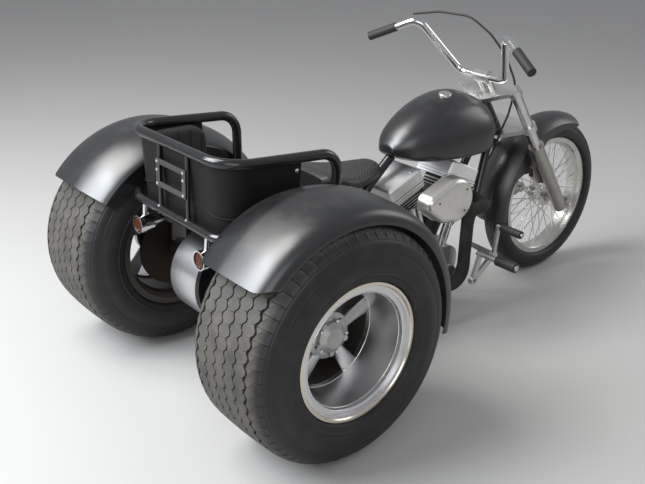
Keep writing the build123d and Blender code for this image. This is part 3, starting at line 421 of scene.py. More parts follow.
def tread(name, profile, centre, pitches, rib_edges, shoulder, size, material):
    """All blocks of one tyre: a pitch of ribs and shoulder blocks, repeated round the axle."""
    pitch = 2 * math.pi / pitches
    blocks = []
    for number, (low_x, high_x) in enumerate(zip(rib_edges, rib_edges[1:])):
        shift = 0.5 * (number % 2)
        blocks.append(solid_mesh(f"{name}_rib", rib_block(profile, low_x, high_x, size, pitch, shift)))
    for side in (-1, 1):
        rings = shoulder_block(profile, side * shoulder[0], side * shoulder[1], size, pitch)
        blocks.append(solid_mesh(f"{name}_shoulder", rings))
    block = join_meshes(f"{name}_pitch", blocks)
    turns = [(k * pitch, 0, 0) for k in range(pitches)]
    return copies(name, block, [centre] * pitches, turns, material)


def carcass_profile(right):
    """The closed outline of a carcass from its right half: crown, side wall, bead and cavity."""
    return right + [(-x, radius) for x, radius in reversed(right) if x > 1e-9]


def rear_tyres():
    """The two wide rear tyres."""
    material = rubber("rear_rubber", REAR_AXLE, 0.341, 0.50)
    crown_line = [(0, 0.362), (0.040, 0.3615), (0.080, 0.3602), (0.118, 0.3580), (0.136, 0.3508),
                  (0.150, 0.3400), (0.158, 0.3290), (0.164, 0.3130), (0.170, 0.2950)]
    floor_line = [(0, 0.353), (0.060, 0.3523), (0.110, 0.3495), (0.128, 0.3440), (0.142, 0.3360),
                  (0.150, 0.3322), (0.1555, 0.3312), (0.1590, 0.3275)]
    side_line = [(0.1615, 0.3200), (0.1640, 0.3130), (0.1664, 0.3050), (0.1674, 0.3045), (0.1677, 0.3036),
                 (0.1671, 0.3030), (0.1690, 0.2970), (0.1735, 0.2880), (0.1768, 0.2740), (0.1776, 0.2620),
                 (0.1768, 0.2500), (0.1750, 0.2420), (0.1762, 0.2405), (0.1762, 0.2370), (0.1740, 0.2352),
                 (0.1715, 0.2260), (0.1690, 0.2190), (0.1640, 0.2160)]
    bead_line = [(0.1545, 0.2130), (0.1545, 0.1910)]
    cavity = [(0.1425, 0.1910), (0.1425, 0.2150), (0.1650, 0.2620), (0.1060, 0.3440)]
    profile = carcass_profile(floor_line + side_line + bead_line + cavity)
    size = {"depth": 0.0105, "groove": 0.0046, "chamfer": 0.0008, "slit": 0.0010, "wave": 0.0042}
    rib_edges = (-0.110, -0.066, -0.022, 0.022, 0.066, 0.110)
    shoulder = (0.1165, 0.1600)
    for side, word in ((1, "right"), (-1, "left")):
        centre = (side * REAR_WHEEL_X, *REAR_AXLE)
        body = f"rear_wheel_{word}_body"
        carcass = lathe("carcass", profile, centre, 192)
        carcass = place_in_scene(f"rear_tyre_carcass_{word}", carcass, material)
        blocks = tread(f"rear_tread_{word}", crown_line, centre, 60, rib_edges, shoulder, size, material)
        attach(carcass, body)
        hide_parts(f"rear_tyre_{word}")
        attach(blocks, body)


def front_tyre():
    """The narrow front tyre with three ribs."""
    material = rubber("front_rubber", FRONT_AXLE, 0.318, 0.55)
    crown_line = [(0, 0.331), (0.014, 0.3303), (0.026, 0.3260), (0.036, 0.3185), (0.042, 0.3100),
                  (0.047, 0.2980)]
    floor_line = [(0, 0.3255), (0.012, 0.3248), (0.024, 0.3205), (0.034, 0.3130), (0.0395, 0.3080)]
    side_line = [(0.0412, 0.3075), (0.0440, 0.3030), (0.0485, 0.2950), (0.0512, 0.2850), (0.0517, 0.2780),
                 (0.0505, 0.2700), (0.0485, 0.2650), (0.0440, 0.2610)]
    bead_line = [(0.0320, 0.2585), (0.0320, 0.2417)]
    cavity = [(0.0230, 0.2417), (0.0230, 0.2600), (0.0430, 0.2820), (0.0170, 0.3180)]
    profile = carcass_profile(floor_line + side_line + bead_line + cavity)
    size = {"depth": 0.0065, "groove": 0.0030, "chamfer": 0.0007, "slit": 0.0007, "wave": 0.0018}
    rib_edges = (-0.0235, -0.0080, 0.0080, 0.0235)
    centre = (0, *FRONT_AXLE)
    carcass = place_in_scene("front_tyre_carcass", lathe("carcass", profile, centre, 160), material)
    blocks = tread("front_tread", crown_line, centre, 70, rib_edges, (0.0262, 0.0415), size, material)
    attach(carcass, "front_wheel")
    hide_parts("front_tyre")
    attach(blocks, "front_wheel")


rear_tyres()
front_tyre()


# Frame tubes, box rail and lower bar
# Welded round steel tube under glossy black enamel. The rail's bends are drawn cold, and its legs are
# welded to the cross tube under the seat's rear.

GLOSS_BLACK = (0.0085, 0.0085, 0.0090, 1)


def gloss_black():
    """Glossy black enamel with a little waviness and thin dust."""
    place, link = new_material("gloss_black_enamel", Coat_Weight=0.25)
    cloud = place.noise(11, 4, 0.6)
    dust = facing_up(place).between(0.6, 1.0) * cloud.between(0.45, 0.8)
    return link(
        Base_Color=(dust * 0.22).mix(GLOSS_BLACK, PAINT_DUST),
        Roughness=0.17 + cloud * 0.10 + dust * 0.10,
        Normal=bump(place.noise(55, 2), 0.00012),
    )


dress(gloss_black(), "frame_spine", "frame_downtubes", "frame_lower_rails", "frame_rear_stays",
      "box_subframe", "box_rail", "lower_bar", "rear_axle_housing", "drum_side_plate")


# Wheels, hubs and differential drum
# Cast aluminium, turned on a lathe and then polished by hand. The lip is the brightest, the barrel keeps
# faint rings from the tool, the spokes stay duller, and what lies behind them is painted dark, as painted
# shade.

LIP_METAL = (0.74, 0.68, 0.60, 1)
BARREL_METAL = (0.74, 0.74, 0.75, 1)
SPOKE_METAL = (0.54, 0.54, 0.54, 1)
SHADE_BEHIND_SPOKES = (0.075, 0.066, 0.058, 1)
SPOKE_BACK = 0.483
BEAD_RADIUS = 0.0015


def lathe_marks(place, axle):
    """The distance from an axle, the one from the machine's middle, and grey rings from a turning tool."""
    radius = from_axle(place, axle)
    across = place.part(0).math("ABSOLUTE")
    rings = place.node("CombineXYZ", None, {0: radius, 1: across}).noise(900, 2)
    return radius, across, rings


def wheel_metal():
    """One finish for lip, barrel and spokes, told apart by their distance from the axle."""
    place, link = new_material("rear_wheel_metal")
    radius, across, rings = lathe_marks(place, REAR_AXLE)
    cloud = place.noise(13, 4, 0.6)
    lip = radius.between(0.1960, 0.1990)
    spoke = radius.between(0.1640, 0.1600)
    # Past the back face of the spokes the wheel is painted dark brown-black and less metallic, as painted
    # shade.
    behind = across.between(SPOKE_BACK, SPOKE_BACK - 0.006)
    metal = spoke.mix(lip.mix(BARREL_METAL, LIP_METAL), SPOKE_METAL)
    return link(
        Base_Color=behind.mix(metal, SHADE_BEHIND_SPOKES),
        Metallic=1.0 - behind * 0.3,
        Roughness=0.25 - lip * 0.10 + spoke * 0.12 + behind * 0.14 + cloud * 0.10 + rings * 0.05,
        Normal=bump(rings, 0.00002),
    )


def darker(colour, share):
    """A colour with its brightness multiplied by a share."""
    return tuple(share * value for value in colour[:3]) + (1,)


def turned_polish(name, axle, rough, colour):
    """Polished metal with fine rings round an axle and duller patches."""
    place, link = new_material(name, Metallic=1.0)
    rings = lathe_marks(place, axle)[2]
    cloud = place.noise(13, 4, 0.6)
    return link(
        Base_Color=cloud.between(0.45, 0.85).mix(colour, darker(colour, 0.75)),
        Roughness=rough + cloud * 0.10 + rings * 0.05,
        Normal=bump(rings, 0.00002),
    )


def barrel_edges(side, word, material):
    """The rolled edges of the barrel's steps and of its seam with the spokes, as thin polished beads."""
    beads = []
    for x, radius in ((0.4960, 0.1650), (0.6085, 0.1752), (0.6215, 0.1782), (0.6238, 0.1952)):
        ring = [(side * (x + BEAD_RADIUS * c), radius + BEAD_RADIUS * s) for c, s in circle(8)]
        beads.append(lathe("bead", ring, (0, *REAR_AXLE), 120, 60))
    made = place_in_scene(f"barrel_edges_{word}", join_meshes(f"barrel_edges_{word}", beads), material)
    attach(made, f"rear_wheel_{word}_body")


dress(wheel_metal(), "rear_wheel_right", "rear_wheel_left")
polished_edge = turned_polish("polished_edge", REAR_AXLE, 0.10, (0.86, 0.85, 0.83, 1))
barrel_edges(1, "right", polished_edge)
barrel_edges(-1, "left", polished_edge)
dress(turned_polish("hub_metal", REAR_AXLE, 0.32, (0.47, 0.465, 0.455, 1)),
      "hub_cap_right", "hub_cap_left")
dress(turned_polish("rusty_disc", REAR_AXLE, 0.45, (0.050, 0.040, 0.034, 1)),
      "axle_hub_right", "axle_hub_left")
dress(turned_polish("polished_drum", REAR_AXLE, 0.22, (0.66, 0.66, 0.67, 1)),
      "differential_drum")
dress(turned_polish("polished_front_wheel", FRONT_AXLE, 0.18, (0.62, 0.61, 0.58, 1)),
      "front_rim", "front_hub", "front_axle")


# Fork, trees, handlebar and castings
# The fork tubes and the bar are drawn steel under hard chrome. The trees, sliders and clamp are aluminium,
# machined and polished, and the crankcase and gearbox are left as they came from the sand mould.

def bright(name, colour, rough, cast=0.0):
    """Bright metal: chrome where rough is low, polished or brushed aluminium where it is higher."""
    place, link = new_material(name, Metallic=1.0)
    cloud = place.noise(17, 4, 0.6)
    fine = place.noise(650, 2, 0.6)
    return link(
        Base_Color=cloud.between(0.5, 0.9).mix(colour, darker(colour, 0.74)),
        Roughness=rough + cloud * 0.08 + fine * 0.05,
        Normal=bump(fine, 0.00001 + cast),
    )


polished_aluminium = bright("polished_aluminium", (0.66, 0.65, 0.63, 1), 0.22)
dress(bright("chrome", (0.72, 0.72, 0.72, 1), 0.07),
      "handlebar", "fork_tubes", "steering_stem", "pushrod_tubes", "tail_lamps")
dress(polished_aluminium, "upper_tree", "lower_tree", "riser_clamp", "primary_cover")
dress(bright("satin_aluminium", (0.42, 0.40, 0.37, 1), 0.28), "fork_sliders")
dress(bright("rocker_polish", (0.92, 0.92, 0.92, 1), 0.46), "rocker_boxes")
dress(bright("cast_aluminium", (0.52, 0.52, 0.51, 1), 0.36, 0.00008),
      "crankcase", "gearbox", "intake_manifold", "brake_callipers", "foot_controls", "drive_chain")


# Cylinders
# Two finned barrels with finned heads, cast and bolted to the crankcase 45 degrees apart. Matt black paint
# covers the fins, and their edges are machined bright after painting.

CRANK = (0.0655, 0.215)
V_HALF = math.radians(22.5)
BARREL_TOP = 0.2530
FIN_PAINT = (0.014, 0.014, 0.014, 1)
FIN_EDGE = (0.55, 0.54, 0.52, 1)


def fin_paint():
    """Matt black paint that ends at the bright edges of the fins, round below and square on the heads."""
    place, link = new_material("fin_paint")
    y = (place.part(1) - CRANK[0]).math("ABSOLUTE")
    z = place.part(2) - CRANK[1]
    across = y * math.cos(V_HALF) - z * math.sin(V_HALF)
    along = y * math.sin(V_HALF) + z * math.cos(V_HALF)
    width = place.part(0).math("ABSOLUTE")
    depth = across.math("ABSOLUTE")
    reach = (width * width + depth * depth).math("SQRT")
    square = width.math("MAXIMUM", depth)
    barrel_edge = reach.between(0.0718, 0.0728) * along.between(BARREL_TOP, BARREL_TOP - 0.0002)
    head_edge = square.between(0.0735, 0.0742) * along.between(BARREL_TOP, BARREL_TOP + 0.0005)
    edge = barrel_edge.math("MAXIMUM", head_edge)
    return link(
        Base_Color=edge.mix(FIN_PAINT, FIN_EDGE),
        Metallic=edge,
        Roughness=0.52 - edge * 0.22 + place.noise(20, 4, 0.6) * 0.10,
    )


dress(fin_paint(), "engine_cylinders")


# Exhaust pipes
# Steel pipe wound by hand with black glass-fibre tape, each turn lapped over the last one. The tape goes
# on wet and dries stiff and matt.

def pipe_wrap():
    """Black woven tape in slanting laps."""
    place, link = new_material("pipe_wrap")
    slanted = place.node("Mapping", None, {"Vector": place, "Rotation": (0.32, 0.25, 0)})
    lap = slanted.waves(6.2, {"bands_direction": "Z", "wave_profile": "SAW"},
                        {"Distortion": 0.6, "Detail": 2.0, "Detail Scale": 3.0})
    weave = place.noise(900, 2, 0.6)
    worn = (place.noise(24, 4, 0.6) * 0.6 + weave * 0.4).between(0.35, 0.75)
    return link(
        Base_Color=worn.mix((0.010, 0.0095, 0.009, 1), (0.042, 0.038, 0.034, 1)),
        Roughness=0.80 + weave * 0.12,
        Normal=bump(lap * 0.75 + weave * 0.25, 0.0016),
    )


dress(pipe_wrap(), "exhaust_pipes")


# Grips, peg rubbers and cable
# Sleeves of moulded black rubber, pushed onto the bar and the pegs. The cable is steel wire in a black
# plastic sheath.

def small_rubber():
    """Clean black rubber."""
    place, link = new_material("moulded_rubber")
    cloud = place.noise(40, 3)
    return link(
        Base_Color=cloud.mix((0.012, 0.012, 0.012, 1), (0.026, 0.025, 0.024, 1)),
        Roughness=0.52 + cloud * 0.15,
        Normal=bump(place.noise(900, 2), 0.00008),
    )


moulded_rubber = small_rubber()
dress(moulded_rubber, "grips", "peg_rubbers", "control_cable_upper", "control_cable_lower")


# Fuel tank
# Two halves of pressed sheet steel, welded round the middle, ground smooth and painted satin black. It
# straddles the backbone tube in a tunnel, and a low polished cap screws into its top.

# From here on, distances along the machine are measured from the rear axle.
AXLE_Y = REAR_AXLE[0]
TANK_CORNER = 0.014
TANK_SINK = 0.006
TANK_STEPS = 36
ROUND_ABOVE = 2.15
SQUARE_BELOW = 5.0
TUNNEL_HALF = 0.0205


def section_values(rows, y):
    """Values between the rows of a table, on a smooth curve through their first column."""
    ys = [row[0] for row in rows]
    k = max(0, min(len(rows) - 2, int(np.searchsorted(ys, y)) - 1))
    reach = ys[k + 1] - ys[k]
    part = min(1.0, max(0.0, (y - ys[k]) / reach))
    square, cube = part * part, part * part * part
    values = []
    for n in range(1, len(rows[0])):
        low, high = rows[k][n], rows[k + 1][n]
        before = after = (high - low) / reach * 1.5
        if k:
            before = (high - rows[k - 1][n]) / (ys[k + 1] - ys[k - 1])
        if k + 2 < len(rows):
            after = (rows[k + 2][n] - low) / (ys[k + 2] - ys[k])
        values.append(low * (2 * cube - 3 * square + 1) + before * reach * (cube - 2 * square + part)
                      + high * (3 * square - 2 * cube) + after * reach * (cube - square))
    return values


def tank_ring(y, half, low, waist, top, inset):
    """One closed cross-section of the tank, rounder above its waist than below it."""
    ring = []
    for c, s in circle(56):
        power = ROUND_ABOVE if s > 0 else SQUARE_BELOW
        reach = top - waist if s > 0 else waist - low
        x = math.copysign(abs(c) ** (2 / power), c) * (half - inset)
        z = waist + math.copysign(abs(s) ** (2 / power), s) * (reach - inset)
        ring.append((x, y + AXLE_Y, z))
    return ring


def turned_piece(name, profile, place, axis, count):
    """A closed turned piece from (height, radius) points along an axis that starts at a place."""
    rings = [[(height, radius * c, radius * s) for c, s in circle(count)] for height, radius in profile]
    mesh = solid_mesh(name, rings, 40)
    facing = Vector(axis).to_track_quat("X", "Z").to_matrix().to_4x4()
    mesh.transform(Matrix.Translation(place) @ facing)
    return mesh


def fuel_tank(material):
    """The tank with its tunnel, and the cap."""
    # Place along the machine, half width, lowest, waist and top heights.
    rows = [(0.682, 0.044, 0.662, 0.686, 0.712), (0.742, 0.098, 0.645, 0.688, 0.775),
            (0.862, 0.140, 0.634, 0.694, 0.841), (0.992, 0.153, 0.632, 0.700, 0.862),
            (1.092, 0.142, 0.638, 0.706, 0.830), (1.134, 0.104, 0.656, 0.712, 0.790)]

    def end_ring(row, way, degrees):
        angle = math.radians(degrees)
        y = row[0] + way * (TANK_CORNER * math.sin(angle) - TANK_SINK)
        return tank_ring(y, *row[1:], TANK_CORNER * (1 - math.cos(angle)))

    rings = [end_ring(rows[0], -1, degrees) for degrees in (85, 60, 30)]
    first, last = rows[0][0] + TANK_SINK, rows[-1][0] - TANK_SINK
    for k in range(TANK_STEPS + 1):
        y = first + (last - first) * k / TANK_STEPS
        rings.append(tank_ring(y, *section_values(rows, y), 0))
    rings += [end_ring(rows[-1], 1, degrees) for degrees in (30, 60, 85)]
    tank = place_in_scene("fuel_tank_shell", solid_mesh("fuel_tank_shell", rings), material)
    slope = (0.792 - 0.690) / (1.265 - 0.713)
    tunnel = [(0.640, 0.640), (0.713, 0.690), (1.200, 0.690 + slope * 0.487), (1.200, 0.600), (0.640, 0.600)]
    sides = [[(x, y + AXLE_Y, z) for y, z in tunnel] for x in (-TUNNEL_HALF, TUNNEL_HALF)]
    cutter = place_in_scene("tunnel", solid_mesh("tunnel", sides))
    cut = tank.modifiers.new("tunnel", "BOOLEAN")
    cut.operation = "DIFFERENCE"
    cut.object = cutter
    tank = place_in_scene("fuel_tank_shell", shade(baked(tank), 40))
    bpy.data.objects.remove(cutter)
    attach(tank, "frame")
    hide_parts("fuel_tank")
    profile = [(-0.008, 0.024), (0.003, 0.024), (0.005, 0.0225), (0.0065, 0.018), (0.007, 0.006)]
    cap = turned_piece("filler_cap", profile, (0.028, 0.930 + AXLE_Y, 0.8570), (0.14, -0.10, 0.98), 48)
    cap = place_in_scene("filler_cap", cap, polished_aluminium)
    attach(cap, "frame")


fuel_tank(satin_paint)


# Air cleaner
# A cast cover with a rounded edge over a flat backing plate, brushed with emery cloth. Three countersunk
# screws hold it to the carburettor.

AIR_BACK_X = 0.186
AIR_EDGE_X = 0.228
AIR_FACE_X = 0.250
AIR_CIRCLES = ((0.700, 0.536, 0.027), (0.806, 0.533, 0.071), (0.765, 0.515, 0.048))


def air_ring(x, grow):
    """The teardrop outline round the cover's three circles, grown by a distance."""
    ring = []
    for c, s in circle(120):
        y, z, radius = max(AIR_CIRCLES, key=lambda spot: spot[0] * c + spot[1] * s + spot[2])
        ring.append((x, y + (radius + grow) * c + AXLE_Y, z + (radius + grow) * s))
    return ring


def air_cleaner(material):
    """Backing plate, cover and the carburettor's mouth behind them."""
    rings = [air_ring(AIR_BACK_X, 0.014), air_ring(AIR_BACK_X + 0.004, 0.014),
             air_ring(AIR_BACK_X + 0.0042, 0.0125), air_ring(AIR_EDGE_X, 0.0110)]
    for degrees in range(15, 91, 15):
        angle = math.radians(degrees)
        out = (AIR_FACE_X - AIR_EDGE_X) * math.sin(angle)
        rings.append(air_ring(AIR_EDGE_X + out, 0.011 - 0.020 * (1 - math.cos(angle))))
    cover = solid_mesh("cover", rings, 40)
    neck = [(0, 0.034), (0.088, 0.034)]
    mouth = turned_piece("mouth", neck, (0.100, 0.854 + AXLE_Y, 0.506), (1, 0, 0), 40)
    made = place_in_scene("air_cleaner_cover", join_meshes("air_cleaner_cover", [cover, mouth]), material)
    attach(made, "frame")
    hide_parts("air_cleaner")


brushed_cover = bright("brushed_cover", (0.74, 0.72, 0.68, 1), 0.27, 0.00002)
dress(brushed_cover, "air_cleaner")
air_cleaner(brushed_cover)


# Screws, rivets and gaskets
# Zinc-plated and black steel: hexagon bolts on the plate frame, socket screws on the covers, and one
# bright rivet on each side of the box. Dark sheet gaskets seal the parts of the rocker boxes.

ROCKER_TOP = 0.4060
GASKET = 0.0014


def fasteners(name, profile, count, spots, body, material):
    """Copies of one small turned head. Each spot is a place and an axis."""
    block = turned_piece(f"{name}_head", profile, (0, 0, 0), (1, 0, 0), count)
    places = [(x, y + AXLE_Y, z) for (x, y, z), axis in spots]
    turns = [tuple(Vector(axis).to_track_quat("X", "Z").to_euler()) for place, axis in spots]
    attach(copies(name, block, places, turns, material), body)


def rocker_point(side, x, out, along):
    """A point in a cylinder's own directions: right, away from the other cylinder and along the bore."""
    across = side * out
    turn = side * V_HALF
    return (x, 0.860 + across * math.cos(turn) + along * math.sin(turn),
            CRANK[1] - across * math.sin(turn) + along * math.cos(turn))


def rocker_screws():
    """The four screws in each rocker box's top."""
    return [(rocker_point(side, x, out, ROCKER_TOP), (0, side * math.sin(V_HALF), math.cos(V_HALF)))
            for side in (1, -1) for x in (-0.064, 0.064) for out in (-0.038, 0.070)]


def hub_screws(side):
    """The five bolts round a hub cap."""
    turns = [math.radians(126 + 72 * k) for k in range(5)]
    return [((side * 0.5190, -0.052 * math.sin(turn), REAR_AXLE[1] + 0.052 * math.cos(turn)), (side, 0, 0))
            for turn in turns]


def screws():
    """All small heads that show."""
    zinc = bright("zinc_plate", (0.72, 0.73, 0.74, 1), 0.24)
    black_steel = bright("black_steel", (0.10, 0.10, 0.10, 1), 0.36)
    hexagon = [(-0.001, 0.0052), (0.0032, 0.0052), (0.0042, 0.0040)]
    socket = [(-0.001, 0.0042), (0.0012, 0.0042), (0.0018, 0.0034), (0.0018, 0.0018), (0.0004, 0.0016)]
    dome = [(-0.001, 0.0070), (0.0010, 0.0068), (0.0028, 0.0052), (0.0036, 0.0026)]
    plate = [((x, -0.2115, z), (0, -1, 0)) for x, z in (
        (-0.073, 0.775), (-0.073, 0.705), (0.073, 0.775), (0.073, 0.705), (-0.0735, 0.748), (0.0735, 0.752))]
    feet = [((x, -0.2065, 0.6275), (0, -0.5, 0.86)) for x in (-0.078, 0.078)]
    rivets = [((side * 0.2635, 0.058, 0.786), (side, 0, 0.08)) for side in (-1, 1)]
    cover = [((AIR_FACE_X - 0.0004, y, z), (1, 0, 0)) for y, z in (
        (0.843, 0.572), (0.707, 0.544), (0.839, 0.494))]
    fasteners("plate_bolts", hexagon, 6, plate, "frame", zinc)
    fasteners("strut_bolts", hexagon, 6, feet, "frame", zinc)
    fasteners("box_rivets", dome, 16, rivets, "frame", zinc)
    fasteners("air_cleaner_screws", socket, 16, cover, "frame", black_steel)
    fasteners("rocker_screws", socket, 16, rocker_screws(), "frame", zinc)
    for side, word in ((1, "right"), (-1, "left")):
        fasteners(f"hub_screws_{word}", hexagon, 6, hub_screws(side), f"rear_wheel_{word}_body", zinc)


def rounded_rectangle(half_x, half_y, corner):
    """The points of a rectangle with round corners, in order."""
    points = []
    for quarter, (sx, sy) in enumerate(((1, 1), (-1, 1), (-1, -1), (1, -1))):
        for k in range(7):
            turn = math.radians(90 * quarter + 15 * k)
            points.append((sx * (half_x - corner) + corner * math.cos(turn),
                           sy * (half_y - corner) + corner * math.sin(turn)))
    return points


def rocker_gaskets(material):
    """The dark seals under and between the parts of the rocker boxes."""
    sheets = []
    seals = ((0.3335, 0.0883, 0.0853), (0.3435, 0.0884, 0.0854), (0.3540, 0.0872, 0.0842))
    for side in (1, -1):
        for low, half_x, half_y in seals:
            plan = rounded_rectangle(half_x, half_y, 0.014)
            rings = [[rocker_point(side, x, out + 0.009, along) for x, out in plan]
                     for along in (low, low + GASKET)]
            sheets.append(solid_mesh("gasket", [[(x, y + AXLE_Y, z) for x, y, z in ring] for ring in rings]))
    made = place_in_scene("rocker_gaskets", join_meshes("rocker_gaskets", sheets), material)
    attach(made, "frame")


screws()
rocker_gaskets(moulded_rubber)


# Tail lamps
# Pressed steel bullets under chrome, hung from the lower bar on bent stalks. A domed red plastic lens with
# fine ribs sits in each open end, behind the rolled rim.

def lamp_lenses():
    """The two lenses."""
    place, link = new_material("red_lens", IOR=1.3)
    ribs = place.waves(90.0, {"bands_direction": "Z"})
    material = link(
        Base_Color=ribs.mix((0.030, 0.006, 0.002, 1), (0.085, 0.020, 0.006, 1)),
        Roughness=0.14 + ribs * 0.06,
        Normal=bump(ribs, 0.0004),
    )
    dome = [(-0.014, 0.0266), (-0.006, 0.0266), (-0.003, 0.0220), (-0.0015, 0.0140), (-0.001, 0.0060)]
    lenses = [turned_piece("lens", dome, (x, -0.231 + AXLE_Y, 0.539), (0, -1, 0), 40)
              for x in (-0.178, 0.178)]
    made = place_in_scene("tail_lamp_lenses", join_meshes("tail_lamp_lenses", lenses), material)
    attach(made, "frame")


lamp_lenses()


# Box skin
# Thin black leather cloth, glued over the steel tub. A sewn welt runs round the tub above its foot, where
# the side panel meets the narrower skirt below.

BOX_LEAN = math.tan(math.radians(4.5))
BOX_TOP = 0.824
BOX_CORNER = 0.078
BOX_FRONT = 0.066


def box_wall_point(part, inset, z):
    """A point along the tapered wall, from its left front edge round the rear to its right front edge."""
    lean = BOX_LEAN * (BOX_TOP - z)
    half, rear = 0.268 - lean - inset, -0.196 + lean + inset
    corner = BOX_CORNER - inset
    flat = half - corner
    arc = math.pi / 2 * corner
    walk = (2 * part - 1) * (flat + arc + BOX_FRONT - rear - corner)
    away = abs(walk)
    turn = min(max(away - flat, 0) / corner, math.pi / 2)
    x = min(away, flat) + corner * math.sin(turn)
    y = rear + corner * (1 - math.cos(turn)) + max(away - flat - arc, 0)
    return (math.copysign(x, walk), y + AXLE_Y, z)


def swept_bead(name, spots, radius, count):
    """A round bead along a list of points, with its ends capped."""
    rings = []
    for k, spot in enumerate(spots):
        ahead = (Vector(spots[min(k + 1, len(spots) - 1)]) - Vector(spots[max(k - 1, 0)])).normalized()
        aside = ahead.cross(Vector((0, 0, 1))).normalized()
        up = aside.cross(ahead)
        rings.append([Vector(spot) + (aside * c + up * s) * radius for c, s in circle(count)])
    return solid_mesh(name, rings, 60)


def box_leather():
    """Worn leather cloth: brownish black, with soft folds and a fine grain."""
    place, link = new_material("box_leather", IOR=1.3)
    cloud = place.noise(9, 4, 0.6)
    folds = place.noise(14, 2, 0.5, (1, 1, 0.35))
    return link(
        Base_Color=cloud.mix((0.0045, 0.0042, 0.0038, 1), (0.0100, 0.0090, 0.0080, 1)),
        Roughness=0.46 + cloud * 0.16,
        Normal=bump(folds * 0.92 + place.grain(420.0) * 0.08, 0.0026),
    )


def box_welt(material):
    """The welt: nearly level across the rear, it dips round each corner and rises along the sides."""
    spots = []
    for k in range(81):
        part = 0.03 + 0.94 * k / 80
        away = abs(part - 0.5) * 2
        z = 0.694 - 0.028 * math.exp(-((away - 0.50) / 0.22) ** 2) + 0.006 * away
        spots.append(box_wall_point(part, -0.0006, z))
    made = place_in_scene("box_welt", swept_bead("box_welt", spots, 0.0021, 10), material)
    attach(made, "frame")


box_skin = box_leather()
dress(box_skin, "box_body")
box_welt(box_skin)


# Seat
# Foam on a steel pan under one skin of black leather. The top panel is tooled with flowing lines, and a
# plain band is sewn round the sides. Two coats of dye make it black, and the pan rests on the seat rail.

SKIN_ROOM = 0.0015
SEAT_FOOT = 0.603


def tooled_leather():
    """Black leather whose top panel is tooled with flowing lines, raised and painted lighter as painted
    highlight.
    """
    place, link = new_material("tooled_leather")
    lines = place.waves(62.0, {"bands_direction": "DIAGONAL"},
                        {"Distortion": 10.0, "Detail": 1.0, "Detail Scale": 0.3})
    pores = place.noise(420, 3, 0.6)
    # The tooled lines on top are raised by the bump and also painted lighter, as painted highlight.
    highlit_raised_lines = facing_up(place).between(0.78, 0.85) * lines.between(0.35, 0.65)
    return link(
        Base_Color=highlit_raised_lines.mix((0.008, 0.0075, 0.007, 1), (0.050, 0.046, 0.042, 1)),
        Roughness=0.36 + pores * 0.16,
        Normal=bump(highlit_raised_lines * 0.85 + pores * 0.15, 0.0022),
    )


def ramp(value, reach):
    """0 to 1 as a value goes from 0 to a reach."""
    return max(0.0, min(1.0, value / reach))


def swell(skin, hold, pressure, frames=20):
    """Lets a skin swell between the points that its stitches hold, as cloth under pressure from inside."""
    group = skin.vertex_groups.new(name="held")
    for vertex in skin.data.vertices:
        group.add([vertex.index], hold(vertex.co), "REPLACE")
    cloth = skin.modifiers.new("skin", "CLOTH")
    settings = cloth.settings
    settings.quality = 4
    settings.mass = 0.6
    settings.tension_stiffness = settings.compression_stiffness = 40
    settings.shear_stiffness = 20
    settings.bending_stiffness = 6
    settings.use_pressure = True
    settings.uniform_pressure_force = pressure
    settings.vertex_group_mass = "held"
    settings.effector_weights.gravity = 0
    cloth.point_cache.frame_end = frames
    for number in range(1, frames + 1):
        bpy.context.scene.frame_set(number)
    swollen = baked(skin)
    bpy.context.scene.frame_set(1)
    return swollen


def stuffed(name, rings, voxel, hold, pressure):
    """The fine mesh of a stuffed piece: a closed form made of even faces, then swollen and subdivided."""
    skin = place_in_scene(f"{name}_form", solid_mesh(name, rings, ALL_SMOOTH))
    even = skin.modifiers.new("even", "REMESH")
    even.mode = "VOXEL"
    even.voxel_size = voxel
    skin = place_in_scene(f"{name}_skin", baked(skin))
    skin = place_in_scene(f"{name}_skin", swell(skin, hold, pressure))
    skin.modifiers.new("fine", "SUBSURF").levels = 1
    mesh = baked(skin)
    for face in mesh.polygons:
        face.use_smooth = True
    return mesh


def seat_form():
    """The saddle's skin before it swells, a little smaller than the finished one."""
    # Place along the machine, half width, top at the middle, top at the edge.
    sections = [
        (0.302, 0.100, 0.672, 0.668), (0.320, 0.118, 0.681, 0.677), (0.350, 0.131, 0.676, 0.673),
        (0.390, 0.136, 0.664, 0.661), (0.440, 0.126, 0.655, 0.651), (0.500, 0.104, 0.652, 0.647),
        (0.560, 0.078, 0.656, 0.650), (0.600, 0.058, 0.661, 0.654), (0.614, 0.044, 0.656, 0.650),
    ]
    rings = []
    for y, half, middle, edge in sections:
        half -= SKIN_ROOM
        right = [(half - 0.016, SEAT_FOOT), (half - 0.003, SEAT_FOOT + 0.012), (half, SEAT_FOOT + 0.030),
                 (half - 0.003, edge - 0.012), (half - 0.012, edge - 0.001)]
        left = [(-x, z) for x, z in reversed(right)]
        top = [(part * (half - 0.012), edge + (middle - edge) * (1 - part * part))
               for part in (0.66, 0.33, 0.0, -0.33, -0.66)]
        ring = left[-1:] + right + top + left[:-1]
        rings.append([(x, y + AXLE_Y, z - SKIN_ROOM) for x, z in ring])
    return rings


